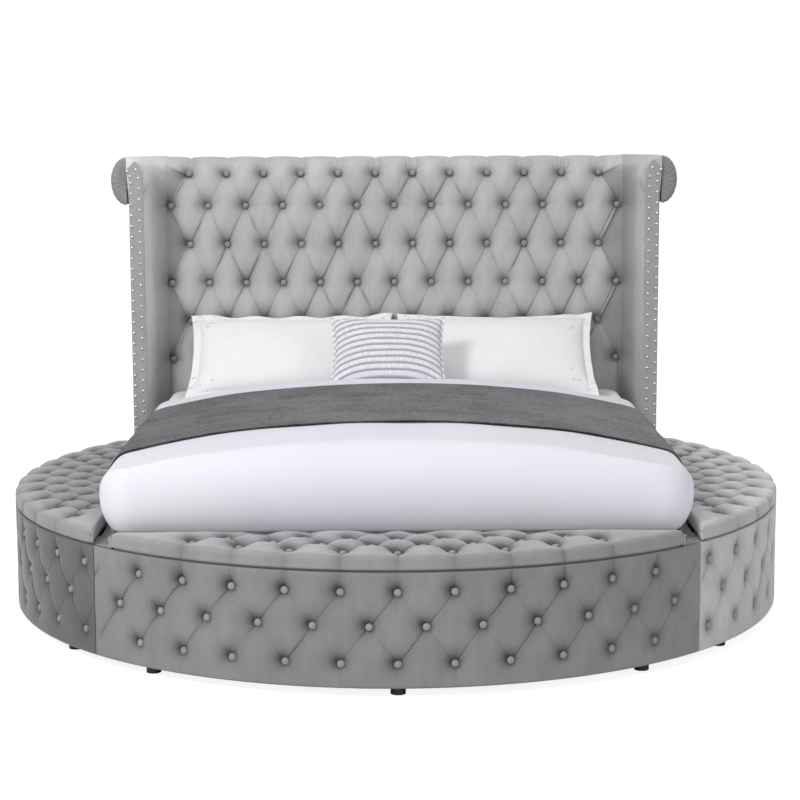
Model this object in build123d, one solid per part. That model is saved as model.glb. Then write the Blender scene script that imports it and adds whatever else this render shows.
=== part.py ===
"""Round storage bed with a tufted winged headboard, in millimetres.

The origin is on the floor at the centre of the round base. The foot of the bed looks along -Y,
the headboard stands at +Y and Z points up.
"""

import math
import os

from build123d import *

# Driving dimensions of the whole bed
outer_radius = 1460.0
mattress_width = 1930.0
mattress_length = 2030.0
mattress_height = 300.0
foot_height = 30.0
wall_height = 384.0
headboard_height = 1675.0
slat_top_height = 360.0

# Clearances, and the overrun that every cut shares
bed_clearance = 25.0
head_clearance = 35.0
lid_rest_gap = 0.4
soft_gap = 0.4
cut_overrun = 20.0

# Bench walls and boards
inner_wall_thickness = 36.0
seam_angle = 45.0
wall_board_thickness = 18.0
wall_pad_thickness = 30.0
bottom_board_thickness = 15.0
end_board_thickness = 18.0
bench_rear_place = 830.0
front_post_place = 820.0
side_post_place = 880.0

# Lids
lid_board_thickness = 15.0
lid_edge_wrap = 14.0
lid_pad_height = 43.0
lid_edge_round = 24.0
lid_rear_round = 15.0
lid_crown = 18.0
lid_crown_run = 150.0
lid_rear_run = 90.0
front_lid_half_span = 972.0
side_lid_front_span = 1022.0
lid_bevel_run = 4.0
lid_bevel_rise = 7.0
lid_end_gap = 3.0

# Hinges
knuckle_radius = 5.0
pin_radius = 2.5
pin_clearance = 0.05
knuckle_gap = 0.4
leaf_gap = 0.3
back_gap = 0.6
leaf_thickness = 2.0
leaf_width = 38.0
leaf_relief = 1.5
hinge_length = 72.0
hinge_spread = 560.0
pin_head_length = 1.5

# Buttons and the tufts that they pull in
button_radius = 13.0
button_height = 9.0
button_sides = 8
button_top_share = 0.62
button_clearance = 1.0
wall_tuft_depth = 10.0
lid_tuft_depth = 20.0
headboard_tuft_depth = 26.0
pleat_depth = 9.0
pleat_half_width = 9.0
wall_button_pitch_angle = 7.3
wall_tuft_width = 30.0
wall_tuft_tall = 36.0
lid_tuft_width = 42.0
lid_tuft_reach = 34.0
headboard_tuft_width = 36.0
headboard_tuft_tall = 62.0
side_first_button_angle = -42.3
wall_row_shares = (0.205, 0.525, 0.82)
lid_row_inset = 74.0
lid_row_spacing = 82.0
lid_tuft_margin = 46.0

# Headboard
headboard_column_spacing = 162.0
headboard_columns = 12
headboard_row_spacing = 168.0
roll_row_spacing = 140.0
headboard_rows = 6
first_row_drop = 74.0
roll_radius = 100.0
pad_thickness = 60.0
pad_half_width = 994.0
pad_bottom_height = 346.0
panel_thickness = 20.0
panel_bottom_height = 210.0
panel_in_roll = 15.0
back_cover_thickness = 3.0
back_cover_margin = 30.0
headboard_leg_width = 60.0
headboard_leg_depth = 36.0
headboard_leg_top = 900.0
bolt_head_radius = 9.0
bolt_head_height = 6.0
bolt_radius = 4.0
bolt_length = 50.0
rail_bolt_length = 92.0
upper_bolt_heights = (480.0, 760.0)

# Wings with their scrolled tops
wing_front_place = 850.0
wing_front_inner = 1064.0
wing_thickness = 62.0
wing_curve_sag = 32.0
scroll_overhang = 80.0
scroll_start_drop = 195.0
scroll_top_lean = 42.0
strip_thickness = 6.0
strip_end_drop = 40.0
strip_lean = 22.0
nail_radius = 6.5
nail_height = 3.5
nail_sides = 8
nail_spacing = 45.6
nail_outer_inset = 9.0
nail_inner_inset = 43.0
nail_bottom_margin = 28.0

# Feet and the mattress support
foot_radius = 25.0
foot_inset = 62.0
front_foot_angles = (-36.0, 0.0, 36.0)
side_foot_angles = (-36.0, 0.0, 30.0)
rail_thickness = 30.0
rail_height = 60.0
slat_thickness = 20.0
slat_width = 70.0
slat_count = 13
centre_rail_width = 60.0
centre_leg_radius = 25.0
centre_leg_spacing = 620.0
centre_leg_count = 3

# Mattress and bedding
mattress_corner = 80.0
mattress_edge = 22.0
duvet_bottom_height = 452.0
duvet_side_height = 565.0
duvet_shoulder_height = 683.0
duvet_crown_height = 752.0
duvet_side_spread = 15.0
duvet_side_bulge = 55.0
duvet_front_spread = 7.0
duvet_front_bulge = 33.0
duvet_shoulder_run = 172.0
duvet_corner = 120.0
duvet_rear_place = 580.0
duvet_front_run = 330.0
duvet_rear_run = 60.0
duvet_top_clearance = 8.0
throw_thickness = 9.0
throw_front_place = -590.0
throw_rear_place = 230.0
throw_hem_height = 478.0
pillow_width = 905.0
pillow_depth = 500.0
pillow_thickness = 170.0
pillow_flange = 42.0
pillow_flange_thickness = 6.0
pillow_side_draw = 14.0
pillow_tilt = 40.0
pillow_spacing = 922.0
pillow_wall_gap = 4.0
cushion_width = 480.0
cushion_depth = 330.0
cushion_thickness = 120.0
cushion_side_draw = 14.0
cushion_tilt = 52.0
cushion_offset = -30.0
cushion_foot_place = 455.0
cushion_rim = 10.0
channel_count = 11
channel_rise = 5.0
station_shares = (-1.0, -0.86, -0.5, 0.0, 0.5, 0.86, 1.0)
swell_shares = (0.06, 0.5, 0.9, 1.0, 0.9, 0.5, 0.06)

# Sizes that follow from the driving dimensions
wall_bottom = foot_height
wall_top = wall_bottom + wall_height
board_outer_radius = outer_radius - wall_pad_thickness
board_inner_radius = board_outer_radius - wall_board_thickness
well_half_width = mattress_width / 2 + bed_clearance
well_half_length = mattress_length / 2 + bed_clearance
side_wall_face = well_half_width + inner_wall_thickness
front_wall_face = well_half_length + inner_wall_thickness
lid_bottom = wall_top + lid_rest_gap
lid_board_top = lid_bottom + lid_board_thickness
lid_rim_top = lid_board_top + lid_pad_height
lid_top = lid_rim_top + lid_crown
hinge_height = lid_bottom - leaf_gap - knuckle_radius
hinge_reach = knuckle_radius + back_gap
slat_bottom = slat_top_height - slat_thickness
mattress_bottom = slat_top_height + soft_gap
mattress_top = mattress_bottom + mattress_height
headboard_face = mattress_length / 2 + head_clearance
panel_front = headboard_face + pad_thickness
panel_back = panel_front + panel_thickness
roll_centre_height = headboard_height - roll_radius
wing_outer = wing_front_inner + wing_thickness


def block(x_range, y_range, z_range):
    """A box from its low and high place along each axis."""
    size = [high - low for low, high in (x_range, y_range, z_range)]
    centre = [(high + low) / 2 for low, high in (x_range, y_range, z_range)]
    return Pos(*centre) * Box(*size)


def disc(radius, low, high):
    """A round slab about the bed's axis."""
    return Pos(0, 0, (low + high) / 2) * Cylinder(radius, high - low)


def frustum(origin, normal, along, half_sizes, depth, end_share):
    """A four-sided tapered plug whose diagonals lie along and across its in-plane direction."""
    base = Plane(origin=origin, x_dir=along, z_dir=normal)
    half_long, half_wide = half_sizes
    corners = [(half_long, 0), (0, half_wide), (-half_long, 0), (0, -half_wide)]
    small = [(x * end_share, y * end_share) for x, y in corners]
    big_face = base * make_face(Polyline(*corners, close=True))
    small_face = base.offset(-depth) * make_face(Polyline(*small, close=True))
    return loft([big_face.face(), small_face.face()], ruled=True)


def tuft(place, normal, along, half_sizes, depth):
    """The hollow that a button pulls into padding, down to a flat floor that just holds the button."""
    half_long, half_wide = half_sizes
    floor_share = (button_radius + button_clearance) * math.hypot(*half_sizes) / (half_long * half_wide)
    grow = 1 + (1 - floor_share) * cut_overrun / depth
    mouth = Vector(*place) + Vector(*normal) * cut_overrun
    sizes = (half_long * grow, half_wide * grow)
    return frustum(mouth, normal, along, sizes, depth + cut_overrun, floor_share / grow)


def button(place, normal, along, depth):
    """A covered button on the floor of its tuft."""
    seat = Vector(*place) - Vector(*normal) * depth
    return stud(seat, normal, along, button_radius, button_height, button_sides, button_top_share)


def stud(origin, normal, along, radius, height, sides, top_share):
    """A small many-sided domed head that stands on its origin."""
    base = Plane(origin=origin, x_dir=along, z_dir=normal)
    bottom = base * RegularPolygon(radius, sides)
    top = base.offset(height) * RegularPolygon(radius * top_share, sides)
    return loft([bottom.face(), top.face()], ruled=True)


def pleat(start, end, normal, depth, half_width):
    """A V-shaped groove between two places on a face with the given normal."""
    first = Vector(*start)
    run = Vector(*end) - first
    up = Vector(*normal).normalized()
    section = Plane(origin=first, x_dir=up.cross(run.normalized()), z_dir=run)
    mouth = section.to_local_coords(first + up)
    rise = math.copysign(depth, mouth.Y)
    outline = [(-half_width * 2, rise), (half_width * 2, rise), (0, -rise)]
    return extrude(section * make_face(Polyline(*outline, close=True)), run.length)


def turned(shape, angle):
    """The shape turned about the bed's axis."""
    return Rot(0, 0, angle) * shape


def joined(shapes):
    """Separate solids kept together as one group."""
    return Compound(children=list(shapes)) if len(shapes) > 1 else shapes[0]


def save(shape, name):
    """One file for each named piece."""
    solids = shape.solids()
    result = solids[0] if len(solids) == 1 else Compound(label=name, children=list(solids))
    export_step(result, f"parts/{name}.step")


# Each bench is drawn with its outward side along +X and then turned to its place
benches = {
    "front": {
        "turn": -90.0,
        "face": front_wall_face,
        "sweep": (seam_angle - 90.0, 90.0 - seam_angle),
        "reach": (-outer_radius, outer_radius),
        "lid": (-front_lid_half_span, front_lid_half_span),
        "posts": (-front_post_place, front_post_place),
        "feet": front_foot_angles,
        "first": -5 * wall_button_pitch_angle,
        "hinges": 0.0,
    },
    "right": {
        "turn": 0.0,
        "face": side_wall_face,
        "sweep": (-seam_angle, 90.0),
        "reach": (-outer_radius, bench_rear_place),
        "lid": (-side_lid_front_span, bench_rear_place - lid_end_gap),
        "posts": (-side_post_place, bench_rear_place - end_board_thickness),
        "feet": side_foot_angles,
        "first": side_first_button_angle,
        "hinges": -90.0,
    },
}


def wedge(low_angle, high_angle, bottom, top):
    """The space between two upright planes through the bed's axis."""
    far = outer_radius * 2
    middle = (low_angle + high_angle) / 2
    angles = [math.radians(a) for a in (low_angle, middle, high_angle)]
    points = [(0, 0)] + [(far * math.cos(a), far * math.sin(a)) for a in angles]
    return extrude(Pos(0, 0, bottom) * make_face(Polyline(*points, close=True)), top - bottom)


def curved_wall(bench, inner, outer, bottom, top):
    """A length of the round wall between a bench's seams."""
    low, high = bench["reach"]
    ring = disc(outer, bottom, top) - disc(inner, bottom - cut_overrun, top + cut_overrun)
    ring = ring & wedge(*bench["sweep"], bottom, top)
    return ring & block((0, outer), (low, high), (bottom, top))


def wall_button_places(bench):
    """Angle and height of each button on the round wall, the middle row half a pitch over."""
    low, high = bench["sweep"]
    low_end, high_end = bench["reach"]
    margin = wall_button_pitch_angle / 3
    places = []
    for row, share in enumerate(wall_row_shares):
        angle = bench["first"] + (wall_button_pitch_angle / 2 if row == 1 else 0)
        if row == 1 and bench["first"] - wall_button_pitch_angle / 2 > low + margin:
            angle = angle - wall_button_pitch_angle
        while angle < high - margin:
            side = outer_radius * math.sin(math.radians(angle))
            if low_end + wall_tuft_width < side < high_end - wall_tuft_width:
                places.append((angle, wall_bottom + share * wall_height))
            angle = angle + wall_button_pitch_angle
    return places


def on_wall(angle, height):
    """A place on the round wall's face and the direction that it looks in."""
    turn = math.radians(angle)
    normal = (math.cos(turn), math.sin(turn), 0)
    return (outer_radius * normal[0], outer_radius * normal[1], height), normal


def wall_cover(bench):
    """The padded velvet on the round wall, pulled in at every button."""
    cover = curved_wall(bench, board_outer_radius, outer_radius, wall_bottom, wall_top)
    tools = []
    for angle, height in wall_button_places(bench):
        place, normal = on_wall(angle, height)
        tools.append(tuft(place, normal, (0, 0, 1), (wall_tuft_tall, wall_tuft_width), wall_tuft_depth))
    return cover.cut(*tools)


def wall_buttons(bench):
    """Covered buttons in the wall's tufts."""
    places = [on_wall(angle, height) for angle, height in wall_button_places(bench)]
    return joined([button(place, normal, (0, 0, 1), wall_tuft_depth) for place, normal in places])


def inner_wall(bench):
    """The straight wall between a bench's store and the mattress."""
    face = bench["face"]
    low, high = bench["reach"]
    wall = block((face - inner_wall_thickness, face), (low, high), (wall_bottom, wall_top))
    return wall & disc(board_inner_radius, wall_bottom, wall_top)


def bottom_board(bench):
    """The floor of the store, between the inner wall and the round wall's padding."""
    face = bench["face"]
    low, high = bench["reach"]
    top = wall_bottom + bottom_board_thickness
    board = disc(board_outer_radius, wall_bottom, top) & wedge(*bench["sweep"], wall_bottom, top)
    return board & block((face, board_outer_radius), (low, high), (wall_bottom, top))


def end_blocks(bench):
    """Blocks that close the two ends of the store and tie the straight wall to the round one."""
    face = bench["face"]
    low, high = bench["reach"]
    low_post, high_post = bench["posts"]
    bottom = wall_bottom + bottom_board_thickness
    store = disc(board_inner_radius, bottom, wall_top)
    low_block = store & block((face, board_inner_radius), (low, low_post), (bottom, wall_top))
    high_block = store & block((face, board_inner_radius), (high_post, high), (bottom, wall_top))
    return joined([low_block, high_block])


def lid_plan(bench, inset):
    """The outline of a lid between the hinge line and the round edge."""
    low, high = bench["lid"]
    rear = bench["face"] + hinge_reach
    edge = outer_radius - inset
    strip = Pos((rear + edge) / 2, (low + high) / 2) * Rectangle(edge - rear, high - low - inset * 2)
    return Circle(edge) & strip


def lid_bevel(bench):
    """The slanted cut on a lid's lower hinge edge, which clears the walls as the lid opens."""
    rear = bench["face"] + hinge_reach
    low = lid_bottom - lid_bevel_rise
    line = Polyline(
        (rear - lid_bevel_run, low),
        (rear + lid_bevel_run * 2, low),
        (rear - lid_bevel_run, lid_bottom + lid_bevel_rise * 2),
        close=True,
    )
    return extrude(Plane.XZ.offset(-outer_radius) * make_face(line), outer_radius * 2)


def lid_board(bench):
    """The stiff board of a lid, inside the wrap of its padding."""
    board = extrude(Pos(0, 0, lid_bottom) * lid_plan(bench, lid_edge_wrap), lid_board_thickness)
    return board - lid_bevel(bench)


def lid_caps(bench):
    """Solids that round the lid's outer edge, its hinge edge and its gentle crown."""
    rear = bench["face"] + hinge_reach
    reach = outer_radius - rear
    rim_start = lid_rim_top - lid_edge_round
    edge = outer_radius - lid_edge_round
    top = lid_top
    outer_lines = [
        Polyline((0, top), (0, lid_bottom), (outer_radius, lid_bottom), (outer_radius, rim_start)),
        RadiusArc((outer_radius, rim_start), (edge, lid_rim_top), -lid_edge_round),
        Polyline((edge, lid_rim_top), (edge - lid_crown_run, top), (0, top)),
    ]
    outer_cap = revolve(Plane.XZ * make_face(Curve() + outer_lines), Axis.Z)
    rear_start = lid_rim_top - lid_rear_round
    near = rear + lid_rear_round
    rear_lines = [
        Polyline((rear + reach, top), (rear + reach, lid_bottom), (rear, lid_bottom), (rear, rear_start)),
        RadiusArc((rear, rear_start), (near, lid_rim_top), lid_rear_round),
        Polyline((near, lid_rim_top), (near + lid_rear_run, top), (rear + reach, top)),
    ]
    section = Plane.XZ.offset(-outer_radius) * make_face(Curve() + rear_lines)
    return outer_cap, extrude(section, outer_radius * 2)


def lid_button_rows(bench):
    """Rows of button places on a lid, each as angle and radius, on arcs about the bed's axis."""
    low, high = bench["lid"]
    rear = bench["face"] + hinge_reach + lid_tuft_margin
    steps = math.ceil(math.degrees(math.pi) / wall_button_pitch_angle)
    rows = []
    radius = outer_radius - lid_row_inset
    while radius > rear:
        places = {}
        odd = len(rows) % 2
        for step in range(steps):
            angle = bench["first"] + (step - 1 + odd / 2) * wall_button_pitch_angle
            x = radius * math.cos(math.radians(angle))
            y = radius * math.sin(math.radians(angle))
            if x > rear and low + lid_tuft_margin < y < high - lid_tuft_margin:
                places[2 * step + odd] = (angle, radius)
        rows.append(places)
        radius = radius - lid_row_spacing
    return rows


def on_lid(place, height):
    """A place on a lid from its angle and radius."""
    turn = math.radians(place[0])
    return (place[1] * math.cos(turn), place[1] * math.sin(turn), height)


def outward(place):
    """The level direction away from the bed's axis at an angle and radius."""
    turn = math.radians(place[0])
    return (math.cos(turn), math.sin(turn), 0)


def lid_pad(bench):
    """The padded velvet top of a lid, crowned, and drawn in by buttons and diamond pleats."""
    outer_cap, rear_cap = lid_caps(bench)
    pad = extrude(Pos(0, 0, lid_bottom) * lid_plan(bench, 0), lid_top - lid_bottom)
    pad = pad & outer_cap & rear_cap
    pad = pad - lid_board(bench) - lid_bevel(bench)
    rows = lid_button_rows(bench)
    up = (0, 0, 1)
    sizes = (lid_tuft_reach, lid_tuft_width)
    tools = []
    for row, places in enumerate(rows):
        below = rows[row + 1] if row + 1 < len(rows) else {}
        for key, place in places.items():
            start = on_lid(place, lid_top)
            tools.append(tuft(start, up, outward(place), sizes, lid_tuft_depth))
            for near in (key - 1, key + 1):
                if near in below:
                    end = on_lid(below[near], lid_top)
                    tools.append(pleat(start, end, up, pleat_depth, pleat_half_width))
    return pad.cut(*tools)


def lid_buttons(bench):
    """Covered buttons in a lid's tufts."""
    places = [place for row in lid_button_rows(bench) for place in row.values()]
    up = (0, 0, 1)
    return joined([button(on_lid(place, lid_top), up, outward(place), lid_tuft_depth) for place in places])


def hinge(along):
    """Fixed leaf, lid leaf and pin of one butt hinge at its place on the hinge line."""
    third = (hinge_length - 2 * knuckle_gap) / 3
    half = hinge_length / 2

    def barrel(low, high, radius):
        """A round length on the hinge line."""
        return Pos(0, (low + high) / 2, 0) * Rot(90, 0, 0) * Cylinder(radius, high - low)

    fixed_spans = [(-half, -half + third), (half - third, half)]
    lid_span = (-third / 2, third / 2)
    relief = knuckle_radius + leaf_relief
    back = (-hinge_reach, -hinge_reach + leaf_thickness)
    fixed = block(back, (-half, half), (-relief - leaf_width, -relief))
    for span in fixed_spans:
        fixed = fixed + barrel(*span, knuckle_radius) + block(back, span, (-relief, 0))
    leaf_top = knuckle_radius + leaf_gap
    plate = (leaf_top - leaf_thickness, leaf_top)
    moving = block((relief, relief + leaf_width), (-half, half), plate)
    moving = moving + barrel(*lid_span, knuckle_radius) + block((0, relief), lid_span, plate)
    bore = barrel(-half - cut_overrun, half + cut_overrun, pin_radius + pin_clearance)
    pin = barrel(-half - pin_head_length, half + pin_head_length, pin_radius)
    for end in (-1, 1):
        low, high = sorted((end * (half + knuckle_gap), end * (half + pin_head_length)))
        pin = pin + barrel(low, high, knuckle_radius - leaf_relief)
    return [Pos(0, along, 0) * piece for piece in (fixed - bore, moving - bore, pin)]


def hinges(bench):
    """The three hinges of a lid, sorted into fixed leaves, lid leaves and pins."""
    line = Pos(bench["face"] + hinge_reach, bench["hinges"], hinge_height)
    sets = [hinge(step * hinge_spread) for step in (-1, 0, 1)]
    return [joined([line * one[kind] for one in sets]) for kind in range(3)]


def feet(bench):
    """Round black feet under the bench's floor."""
    foot = Pos(outer_radius - foot_inset, 0, foot_height / 2) * Cylinder(foot_radius, foot_height)
    return [turned(foot, angle) for angle in bench["feet"]]


def make_benches():
    """All pieces of the three benches, the left one as the mirror of the right one."""
    all_feet = []
    board_low = wall_bottom + bottom_board_thickness
    for name, bench in benches.items():
        fixed_leaves, lid_leaves, pins = hinges(bench)
        pieces = {
            "outer_wall": curved_wall(bench, board_inner_radius, board_outer_radius, board_low, wall_top),
            "wall_cover": wall_cover(bench),
            "wall_buttons": wall_buttons(bench),
            "inner_wall": inner_wall(bench),
            "end_blocks": end_blocks(bench),
            "bottom_board": bottom_board(bench),
            "fixed_hinge_leaves": fixed_leaves,
            "lid_board": lid_board(bench),
            "lid_pad": lid_pad(bench),
            "lid_buttons": lid_buttons(bench),
            "lid_hinge_leaves": lid_leaves,
            "hinge_pins": pins,
        }
        for piece, shape in pieces.items():
            placed = turned(shape, bench["turn"])
            save(placed, f"{name}_{piece}")
            if name == "right":
                save(mirror(placed, Plane.YZ), f"left_{piece}")
        placed_feet = [turned(foot, bench["turn"]) for foot in feet(bench)]
        all_feet = all_feet + placed_feet
        if name == "right":
            all_feet = all_feet + [mirror(foot, Plane.YZ) for foot in placed_feet]
    save(joined(all_feet), "base_feet")


def make_support():
    """Rails, centre legs and slats that carry the mattress."""
    rail_front = -well_half_length
    rail_rear = panel_front
    rail_low = slat_bottom - rail_height
    edge = well_half_width
    corner = disc(board_inner_radius, rail_low, slat_bottom)
    side = block((edge - rail_thickness, edge), (rail_front, rail_rear), (rail_low, slat_bottom)) & corner
    side = side - rail_bolts()[1]
    save(joined([side, mirror(side, Plane.YZ)]), "side_rails")
    half = centre_rail_width / 2
    save(block((-half, half), (rail_front, rail_rear), (rail_low, slat_bottom)), "centre_rail")
    legs = []
    for index in range(centre_leg_count):
        place = (index - (centre_leg_count - 1) / 2) * centre_leg_spacing
        legs.append(Pos(0, place, rail_low / 2) * Cylinder(centre_leg_radius, rail_low))
    save(joined(legs), "centre_legs")
    slats = []
    first = rail_front + slat_width
    pitch = (headboard_face - slat_width - first) / (slat_count - 1)
    for index in range(slat_count):
        middle = first + index * pitch
        span = (middle - slat_width / 2, middle + slat_width / 2)
        reach = min(edge, math.sqrt(board_inner_radius**2 - span[0] ** 2)) - soft_gap
        slats.append(block((-reach, reach), span, (slat_bottom, slat_top_height)))
    save(joined(slats), "slats")


def headboard_places():
    """Rows of button places across the headboard, alternate rows one button wider."""
    rows = []
    for row in range(headboard_rows):
        count = headboard_columns + row % 2
        drop = roll_row_spacing + (row - 1) * headboard_row_spacing if row else 0
        height = headboard_height - first_row_drop - drop
        start = -(count - 1) * headboard_column_spacing / 2
        places = {}
        for column in range(count):
            key = 2 * column - row % 2
            places[key] = (start + column * headboard_column_spacing, headboard_face, height)
        rows.append(places)
    return rows


def headboard_pad():
    """The deep padded front with its rolled top, drawn in by buttons and diamond pleats."""
    half = pad_half_width
    slab = block((-half, half), (headboard_face, panel_front), (pad_bottom_height, roll_centre_height))
    roll_place = Pos(0, headboard_face + roll_radius, roll_centre_height)
    roll = roll_place * Rot(0, 90, 0) * Cylinder(roll_radius, wing_outer * 2)
    pad = slab + roll - headboard_panel()
    rows = headboard_places()
    front = (0, -1, 0)
    sizes = (headboard_tuft_tall, headboard_tuft_width)
    tools = []
    for row, places in enumerate(rows):
        below = rows[row + 1] if row + 1 < len(rows) else {}
        for key, place in places.items():
            tools.append(tuft(place, front, (0, 0, 1), sizes, headboard_tuft_depth))
            for near in (key - 1, key + 1):
                if near in below:
                    tools.append(pleat(place, below[near], front, pleat_depth, pleat_half_width))
    return pad.cut(*tools)


def headboard_buttons():
    """Covered buttons in the headboard's tufts."""
    places = [place for row in headboard_places() for place in row.values()]
    return joined([button(place, (0, -1, 0), (0, 0, 1), headboard_tuft_depth) for place in places])


def headboard_panel():
    """The board that carries the padding, the wings and the legs."""
    top = roll_centre_height + panel_in_roll
    return block((-wing_outer, wing_outer), (panel_front, panel_back), (panel_bottom_height, top))


def wing_plan(tip_shift, height):
    """The wing's plan, a cove from the padded front to its tip, at a height."""
    corner = (pad_half_width, headboard_face)
    tip = (wing_front_inner + tip_shift, wing_front_place)
    lines = [
        Polyline(tip, (wing_outer, wing_front_place), (wing_outer, panel_front)),
        Polyline((wing_outer, panel_front), (pad_half_width, panel_front), corner),
        SagittaArc(corner, tip, wing_curve_sag),
    ]
    return Pos(0, 0, height) * make_face(Curve() + lines)


def wing(pad):
    """The upholstered right wing, a cove whose upper front edge leans outwards."""
    start = headboard_height - scroll_start_drop
    low = extrude(wing_plan(0, wall_bottom), start - wall_bottom)
    high = loft([wing_plan(0, start), wing_plan(scroll_top_lean, headboard_height)], ruled=True)
    return (low + high) - pad


def scroll():
    """The rolled top of the right wing, which curls outwards over its side."""
    start = headboard_height - scroll_start_drop
    middle = roll_centre_height
    outer_edge = wing_outer + scroll_overhang
    rise = math.sqrt(roll_radius**2 - (roll_radius - scroll_overhang) ** 2)
    top = middle + rise
    lines = [
        Line((wing_outer, start), (wing_outer, top)),
        RadiusArc((wing_outer, top), (outer_edge, middle), roll_radius),
        TangentArc((outer_edge, middle), (wing_outer, start), tangent=(0, -1)),
    ]
    section = Plane.XZ.offset(-wing_front_place) * make_face(Curve() + lines)
    return extrude(section, -(headboard_face + roll_radius * 2 - wing_front_place))


def trim_strip():
    """The flat velvet strip on the right wing's front edge, curling outwards at its top."""
    start = headboard_height - scroll_start_drop
    top = headboard_height - strip_end_drop
    inner_top = (wing_front_inner + scroll_top_lean, top)
    outer_top = (wing_outer + strip_lean, top - strip_end_drop)
    lines = [
        Line((wing_outer, wall_bottom), (wing_outer, start)),
        TangentArc((wing_outer, start), outer_top, tangent=(0, 1)),
        Line(outer_top, inner_top),
        TangentArc((wing_front_inner, start), inner_top, tangent=(0, 1)),
        Line((wing_front_inner, start), (wing_front_inner, wall_bottom)),
        Line((wing_front_inner, wall_bottom), (wing_outer, wall_bottom)),
    ]
    section = Plane.XZ.offset(-wing_front_place) * make_face(Curve() + lines)
    return extrude(section, strip_thickness)


def nail_places():
    """Two columns of nails on the right strip, staggered by half a space."""
    places = []
    top = headboard_height - strip_end_drop * 2
    start = headboard_height - scroll_start_drop
    for inset, shift in ((nail_outer_inset, 0), (nail_inner_inset, nail_spacing / 2)):
        height = top - shift
        while height > wall_bottom + nail_bottom_margin:
            rise = max(height - start, 0) / (top - start)
            lean = strip_lean * rise**2
            places.append((wing_outer - inset + lean, wing_front_place - strip_thickness, height))
            height = height - nail_spacing
    return places


def nailheads():
    """Domed nailheads on the right strip."""
    heads = [
        stud(place, (0, -1, 0), (0, 0, 1), nail_radius, nail_height, nail_sides, button_top_share)
        for place in nail_places()
    ]
    return heads


def make_headboard():
    """All pieces of the headboard."""
    pad = headboard_pad()
    save(pad, "headboard_pad")
    save(headboard_buttons(), "headboard_buttons")
    right_wing = wing(pad)
    right_scroll = scroll()
    strip = trim_strip()
    heads = nailheads()
    save(right_wing, "right_wing")
    save(mirror(right_wing, Plane.YZ), "left_wing")
    save(right_scroll, "right_wing_scroll")
    save(mirror(right_scroll, Plane.YZ), "left_wing_scroll")
    save(strip, "right_trim_strip")
    save(mirror(strip, Plane.YZ), "left_trim_strip")
    save(joined(heads + [mirror(head, Plane.YZ) for head in heads]), "nailheads")
    cover_edge = wing_outer - back_cover_margin
    cover_top = roll_centre_height - roll_radius - back_cover_margin
    cover_low = panel_bottom_height + back_cover_margin
    cover_back = panel_back + back_cover_thickness
    leg_back = panel_back + headboard_leg_depth
    leg_place = well_half_width - rail_thickness / 2
    leg_span = (leg_place - headboard_leg_width / 2, leg_place + headboard_leg_width / 2)
    leg = block(leg_span, (panel_back, leg_back), (0, headboard_leg_top))
    legs = [leg, mirror(leg, Plane.YZ)]
    cover = block((-cover_edge, cover_edge), (panel_back, cover_back), (cover_low, cover_top))
    for one in legs:
        cover = cover - one
    save(cover, "headboard_back_cover")
    bolts = rail_bolts()
    for side in (-1, 1):
        for height in upper_bolt_heights:
            bolts.append(bolt(side * leg_place, height, bolt_length))
    panel = headboard_panel()
    for one in bolts:
        legs = [post - one for post in legs]
        panel = panel - one
    save(joined(legs), "headboard_legs")
    save(panel, "headboard_panel")
    save(joined(bolts), "headboard_bolts")


def bolt(place, height, length):
    """A round-headed bolt through a headboard leg, from behind."""
    seat = panel_back + headboard_leg_depth
    head = Pos(place, seat + bolt_head_height / 2, height) * Rot(90, 0, 0)
    shank = Pos(place, seat - length / 2, height) * Rot(90, 0, 0)
    return head * Cylinder(bolt_head_radius, bolt_head_height) + shank * Cylinder(bolt_radius, length)


def rail_bolts():
    """The two bolts that hold the side rails to the headboard's legs."""
    place = well_half_width - rail_thickness / 2
    height = slat_bottom - rail_height / 2
    return [bolt(side * place, height, rail_bolt_length) for side in (-1, 1)]


def make_mattress():
    """The mattress, with rounded corners and edges."""
    body = block(
        (-mattress_width / 2, mattress_width / 2),
        (-mattress_length / 2, mattress_length / 2),
        (mattress_bottom, mattress_top),
    )
    body = fillet(body.edges().filter_by(Axis.Z), mattress_corner)
    rims = body.edges().group_by(Axis.Z)[-1] + body.edges().group_by(Axis.Z)[0]
    return chamfer(rims, mattress_edge)


def duvet_section(grow):
    """The duvet's section across the bed, grown outwards by the given thickness."""
    low_half = mattress_width / 2 + duvet_side_spread + grow
    side_half = mattress_width / 2 + duvet_side_bulge + grow
    shoulder_half = side_half - duvet_shoulder_run
    low = duvet_bottom_height
    side = duvet_side_height
    shoulder = duvet_shoulder_height + grow
    crown = duvet_crown_height + grow
    lines = [
        Line((-low_half, low), (low_half, low)),
        TangentArc((side_half, side), (low_half, low), tangent=(0, -1)),
        TangentArc((side_half, side), (shoulder_half, shoulder), tangent=(0, 1)),
        ThreePointArc((shoulder_half, shoulder), (0, crown), (-shoulder_half, shoulder)),
        TangentArc((-side_half, side), (-shoulder_half, shoulder), tangent=(0, 1)),
        TangentArc((-side_half, side), (-low_half, low), tangent=(0, -1)),
    ]
    return make_face(Curve() + lines)


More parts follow.
